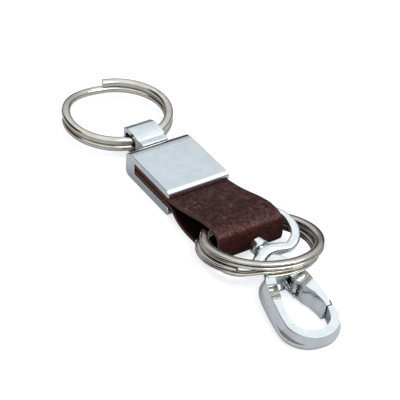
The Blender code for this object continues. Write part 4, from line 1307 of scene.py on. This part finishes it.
def hook_opening(c):
    """Plan of the space inside the hook, up to where the gate lies. Plain numbers are distances
    from the arm's root and from the gate's pin, side and end."""
    radius = c.half_width - c.arm
    centre = c.tip_ahead - c.tip - radius
    left = [(-c.shoulder + c.arm_root + 0.15, c.opening_start)]
    left += [(0.84 * -radius, c.pivot_ahead + 5.0), (-radius, c.pivot_ahead + 8.6)]
    path = smooth_path(left + arc((0.0, centre), radius, 180, 10, 14), 4)
    inner = c.gate_tip_aside - c.gate_tip_width
    path += [Vector((inner + 0.4, c.gate_tip_ahead - 1.0))]
    path += [Vector((c.pivot_aside + 1.5, c.pivot_ahead + 2.5))]
    path += [Vector((c.pivot_aside - 1.0, c.opening_start))]
    return [tuple(point) for point in path]


def hook_shape(s):
    """The hook: the blank less its opening, the gate's space and the pocket in its head, with
    the bore for the rivet, and the tongue and barrel that carry the gate's pin."""
    c, place = s.clasp, s.hook_matrix
    hook = new_solid("snap_hook", hook_blank(c), place)
    far = c.top + c.bottom
    low = (-c.head_pocket, -c.opening_start - OVERCUT, -c.pocket_bottom)
    high = (c.pivot_aside, c.pocket_ahead - c.pivot_ahead, c.pocket_top)
    carve(hook, plan_prism(hook_opening(c), -far, far), place)
    carve(hook, gate_space(c, c.gate_gap), place)
    carve(hook, box(low, high), place)
    soften_edges(hook, c.edge)
    end = -c.hook_start - c.rivet_grip
    bore = cylinder(1, (0.0, 0.0), c.rivet_radius + c.rivet_fit, end - c.rivet_fit, c.hook_start)
    carve(hook, bore, s.eye_matrix)
    pivot = (c.pivot_aside, -c.pivot_ahead)
    start = c.pivot_ahead - c.knuckle - c.gate_gap - c.tongue_root
    tongue = arc((c.pivot_aside, c.pivot_ahead), c.tongue_radius, 0, 180, 20)
    tongue += [(c.pivot_aside - c.tongue_radius, start), (c.pivot_aside + c.tongue_radius, start)]
    carve(hook, plan_prism(tongue, -c.tongue_bottom, -c.tongue_top), place, "UNION")
    root = -c.tongue_top - c.barrel_root
    barrel = cylinder(2, pivot, c.barrel_radius, root, c.barrel_top, PIN_SIDES)
    carve(hook, barrel, place, "UNION")
    low, high = -c.tongue_bottom - OVERCUT, c.barrel_top + OVERCUT
    carve(hook, cylinder(2, pivot, c.pin_radius + c.pin_fit, low, high, PIN_SIDES), place)
    return hook


def gate_shape(s):
    """The gate, cut from the same blank as the hook."""
    c, place = s.clasp, s.hook_matrix
    gate = new_solid("snap_gate", hook_blank(c), place)
    carve(gate, gate_space(c, 0.0), place, "INTERSECT")
    soften_edges(gate, c.edge)
    x, y = c.pivot_aside, -c.pivot_ahead
    high = (x + c.pocket_aside, y + 2 * c.knuckle, c.pocket_top)
    low = (x - c.knuckle + c.knuckle_wall, y - c.pocket_ahead, -c.pocket_bottom)
    carve(gate, box(low, high), place)
    carve(gate, box((x - 2 * c.knuckle, y + c.pin_radius, -c.pocket_bottom), high), place)
    far = 2 * (c.top + c.bottom)
    hole = cylinder(2, (x, y), c.pin_radius + c.pin_fit, -far, c.pin_top + c.pin_fit, PIN_SIDES)
    carve(gate, hole, place)
    return gate


def spring_shape(s):
    """A torsion spring above the tongue, as the open gate would hold it."""
    c = s.clasp
    base = c.spring_wire / 2 + GAP - c.tongue_top
    place = s.hook_matrix @ Matrix.Translation(Vector((c.pivot_aside, -c.pivot_ahead, base)))
    values = {
        "Points": SPRING_POINTS,
        "Radius": c.spring_radius * MM,
        "Wire width": c.spring_wire * MM,
        "Wire height": c.spring_wire * MM,
        "Flatness": 1.0,
        "Pitch": c.spring_pitch * MM,
        "Turn": 2 * math.pi * SPRING_TURNS,
        "First": math.radians(-c.gate_open),
        "Leg": c.spring_leg * MM,
        "Material": get_finish("Bright steel"),
    }
    return wire_from_tree("gate_coil", coil_tree(), values, place)


# Stage


def toward(nodes, direction, aim):
    """How far a direction lies towards an aim, by the cosines that the aim gives."""
    way, start, full = aim
    facing = nodes.add("ShaderNodeVectorMath", {0: direction, 1: way}, operation="DOT_PRODUCT")
    return nodes.smooth_step(facing.outputs["Value"], start, full)


def light_world():
    """White to the camera, and to the rest a soft studio: pale walls, a dark band low down and
    a dark screen."""
    world = bpy.data.worlds.new("Studio")
    world.use_nodes = True
    bpy.context.scene.world = world
    nodes = Nodes(world.node_tree)
    direction = nodes.add("ShaderNodeTexCoord").outputs["Generated"]
    height = nodes.add("ShaderNodeSeparateXYZ", {0: direction}).outputs["Z"]
    ramp = nodes.add("ShaderNodeValToRGB", {0: nodes.remap(height, -1.0, 1.0, 0.0, 1.0)})
    stops = ramp.color_ramp.elements
    while len(stops) < len(STUDIO):
        stops.new(0.5)
    for stop, (level, wall) in zip(stops, STUDIO):
        stop.position = 0.5 + 0.5 * level
        stop.color = (*wall, 1.0)
    rising = nodes.smooth_step(height, *BAND_RISE)
    falling = nodes.smooth_step(height, *BAND_FADE)
    side = toward(nodes, direction, BAND_SIDE)
    depth = nodes.math("MULTIPLY_ADD", side, 1.0 - BAND_ELSEWHERE, BAND_ELSEWHERE)
    band = nodes.math("MULTIPLY", nodes.math("MULTIPLY", rising, falling), depth)
    dark = nodes.math("MAXIMUM", toward(nodes, direction, SCREEN), band)
    walls = nodes.mix(dark, ramp.outputs[0], SCREEN_SHADE)
    camera = nodes.add("ShaderNodeLightPath").outputs["Is Camera Ray"]
    tone = nodes.mix(camera, walls, (1.0, 1.0, 1.0))
    nodes.feed(world.node_tree.nodes["Background"], {"Color": tone})


def add_floor(stage, low):
    """A matt floor that glows for the camera and a little in reflections, so that it is white."""
    far = FLOOR_REACH
    floor = new_solid("floor", box((-far, -far, low - FLOOR_THICK), (far, far, low)))
    material, nodes, _ = new_material("Pale floor")
    path = nodes.add("ShaderNodeLightPath").outputs
    mirrored = nodes.math("MAXIMUM", path["Is Glossy Ray"], path["Is Transmission Ray"])
    direct = nodes.math("MULTIPLY", path["Is Camera Ray"], stage.glow)
    glow = nodes.math("MULTIPLY_ADD", mirrored, stage.mirrored, direct)
    matt = nodes.add("ShaderNodeBsdfDiffuse", {"Color": (*stage.floor, 1.0)}).outputs[0]
    light = nodes.add("ShaderNodeEmission", {"Color": (1.0, 1.0, 1.0, 1.0), "Strength": glow})
    both = nodes.add("ShaderNodeAddShader", {0: matt, 1: light.outputs[0]}).outputs[0]
    nodes.feed(material.node_tree.nodes["Material Output"], {"Surface": both})
    floor.data.materials.append(material)


def add_lamp(stage):
    """A large square lamp that faces the object."""
    lamp = bpy.data.lights.new("Key light", "AREA")
    lamp.size = stage.lamp_size
    lamp.energy = stage.lamp_power
    obj = bpy.data.objects.new("Key light", lamp)
    bpy.context.scene.collection.objects.link(obj)
    obj.location = LAMP_PLACE
    obj.rotation_euler = (-Vector(LAMP_PLACE)).to_track_quat("-Z", "Y").to_euler()


def add_camera(stage):
    """A camera at its azimuth and elevation round the target, rolled about its view."""
    a, e, r = stage.azimuth, stage.elevation, stage.roll
    back = Vector((math.sin(a) * math.cos(e), -math.cos(a) * math.cos(e), math.sin(e)))
    level = Vector((math.cos(a), math.sin(a), 0.0))
    up = back.cross(level)
    right = math.cos(r) * level + math.sin(r) * up
    up = math.cos(r) * up - math.sin(r) * level
    data = bpy.data.cameras.new("Camera")
    data.lens = stage.lens
    data.sensor_width = 36.0
    data.clip_start = 0.01
    data.clip_end = 20.0
    camera = bpy.data.objects.new("Camera", data)
    bpy.context.scene.collection.objects.link(camera)
    target = Vector((stage.target_x, stage.target_y, 0.0))
    matrix = Matrix((right, up, back)).transposed().to_4x4()
    matrix.translation = target + back * stage.distance
    camera.matrix_world = matrix
    bpy.context.scene.camera = camera


# Operators


class KEYRING_OT_clamp(bpy.types.Operator):
    """Makes the polished clamp, and dresses the pin inside it"""

    bl_idname = "key_ring.clamp"
    bl_label = "Clamp"
    bl_options = {"REGISTER", "UNDO"}

    def execute(self, context):
        clamp = clamp_shape(all_sizes(context))
        shade(clamp)
        hand_over(clamp, "Polished nickel", "clamp", ["clamp_body"])
        dress_node("strap_pin", "Polished nickel")
        return {"FINISHED"}


class KEYRING_OT_strap(bpy.types.Operator):
    """Makes the leather loop"""

    bl_idname = "key_ring.strap"
    bl_label = "Leather loop"
    bl_options = {"REGISTER", "UNDO"}

    def execute(self, context):
        strap = strap_shape(all_sizes(context))
        shade(strap, 60.0, weighted=False)
        hand_over(strap, "Pebbled leather", "clamp", ["leather_strap"])
        return {"FINISHED"}


class KEYRING_OT_bail(bpy.types.Operator):
    """Makes the bail, and dresses the post that it turns on"""

    bl_idname = "key_ring.bail"
    bl_label = "Bail"
    bl_options = {"REGISTER", "UNDO"}

    def execute(self, context):
        bail = bail_shape(all_sizes(context))
        shade(bail)
        hand_over(bail, "Polished nickel", "bail", ["bail"])
        dress_node("bail_post", "Bright steel")
        return {"FINISHED"}


class KEYRING_OT_rings(bpy.types.Operator):
    """Makes the three split rings"""

    bl_idname = "key_ring.rings"
    bl_label = "Split rings"
    bl_options = {"REGISTER", "UNDO"}

    def execute(self, context):
        s = all_sizes(context)
        tree = split_ring_tree()
        for plan in split_ring_plans(s):
            ring = split_ring(tree, plan, s.rings)
            shade(ring, weighted=False)
            hand_over(ring, "Ring nickel", plan.body, [plan.node])
        return {"FINISHED"}


class KEYRING_OT_eye(bpy.types.Operator):
    """Makes the clasp's eye and the rivet that it turns on"""

    bl_idname = "key_ring.eye"
    bl_label = "Clasp eye and rivet"
    bl_options = {"REGISTER", "UNDO"}

    def execute(self, context):
        s = all_sizes(context)
        eye, rivet = eye_shape(s), rivet_shape(s)
        shade(eye)
        shade(rivet)
        hand_over(eye, "Polished nickel", "eye", ["clasp_eye"])
        hand_over(rivet, "Polished nickel", "clasp", ["swivel_rivet"])
        return {"FINISHED"}


class KEYRING_OT_hook(bpy.types.Operator):
    """Makes the clasp's hook, its gate and the spring under it"""

    bl_idname = "key_ring.hook"
    bl_label = "Hook and gate"
    bl_options = {"REGISTER", "UNDO"}

    def execute(self, context):
        s = all_sizes(context)
        hook, gate, spring = hook_shape(s), gate_shape(s), spring_shape(s)
        for piece in (hook, gate, spring):
            shade(piece)
        hand_over(hook, "Polished nickel", "clasp", ["clasp_hook"])
        hand_over(gate, "Polished nickel", "gate", ["gate"])
        hand_over(spring, "Bright steel", "clasp", ["gate_spring"])
        dress_node("gate_pin", "Bright steel")
        return {"FINISHED"}


class KEYRING_OT_stage(bpy.types.Operator):
    """Makes the floor, the studio's light, the lamp and the camera"""

    bl_idname = "key_ring.stage"
    bl_label = "Stage"
    bl_options = {"REGISTER", "UNDO"}

    def execute(self, context):
        stage = context.scene.key_ring.stage
        context.scene.view_settings.view_transform = "Standard"
        add_floor(stage, CAD_BOX[0][2] / MM - FLOOR_DROP)
        light_world()
        add_lamp(stage)
        add_camera(stage)
        return {"FINISHED"}


class KEYRING_PT_panel(bpy.types.Panel):
    """Sizes and steps of the key ring"""

    bl_idname = "KEYRING_PT_panel"
    bl_label = "Key ring"
    bl_space_type = "VIEW_3D"
    bl_region_type = "UI"
    bl_category = "Key Ring"

    def draw(self, context):
        settings = context.scene.key_ring
        for group_name, steps in SECTIONS:
            section = self.layout.box()
            section.label(text=group_name.capitalize())
            for step in steps:
                section.operator("key_ring." + step)
            group = getattr(settings, group_name)
            for name in type(group).__annotations__:
                section.prop(group, name)


# The panel's sections: a group of settings, and the operators that read it, in their order
SECTIONS = [
    ("finish", []),
    ("clamp", ["clamp"]),
    ("strap", ["strap"]),
    ("bail", ["bail"]),
    ("rings", ["rings"]),
    ("clasp", ["eye", "hook"]),
    ("stage", ["stage"]),
]
CLASSES = [
    ClampSettings, StrapSettings, BailSettings, RingSettings, ClaspSettings, FinishSettings,
    StageSettings, KeyRingSettings, KEYRING_OT_clamp, KEYRING_OT_strap, KEYRING_OT_bail,
    KEYRING_OT_rings, KEYRING_OT_eye, KEYRING_OT_hook, KEYRING_OT_stage, KEYRING_PT_panel,
]


def register():
    """Registers the settings, the operators and the panel."""
    for item in CLASSES:
        bpy.utils.register_class(item)
    bpy.types.Scene.key_ring = bpy.props.PointerProperty(type=KeyRingSettings)


def unregister():
    """Takes back what register did."""
    del bpy.types.Scene.key_ring
    for item in reversed(CLASSES):
        bpy.utils.unregister_class(item)


def main():
    """Makes every piece and the stage."""
    register()
    for _, steps in SECTIONS:
        for step in steps:
            getattr(bpy.ops.key_ring, step)()
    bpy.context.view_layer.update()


if __name__ == "__main__":
    main()
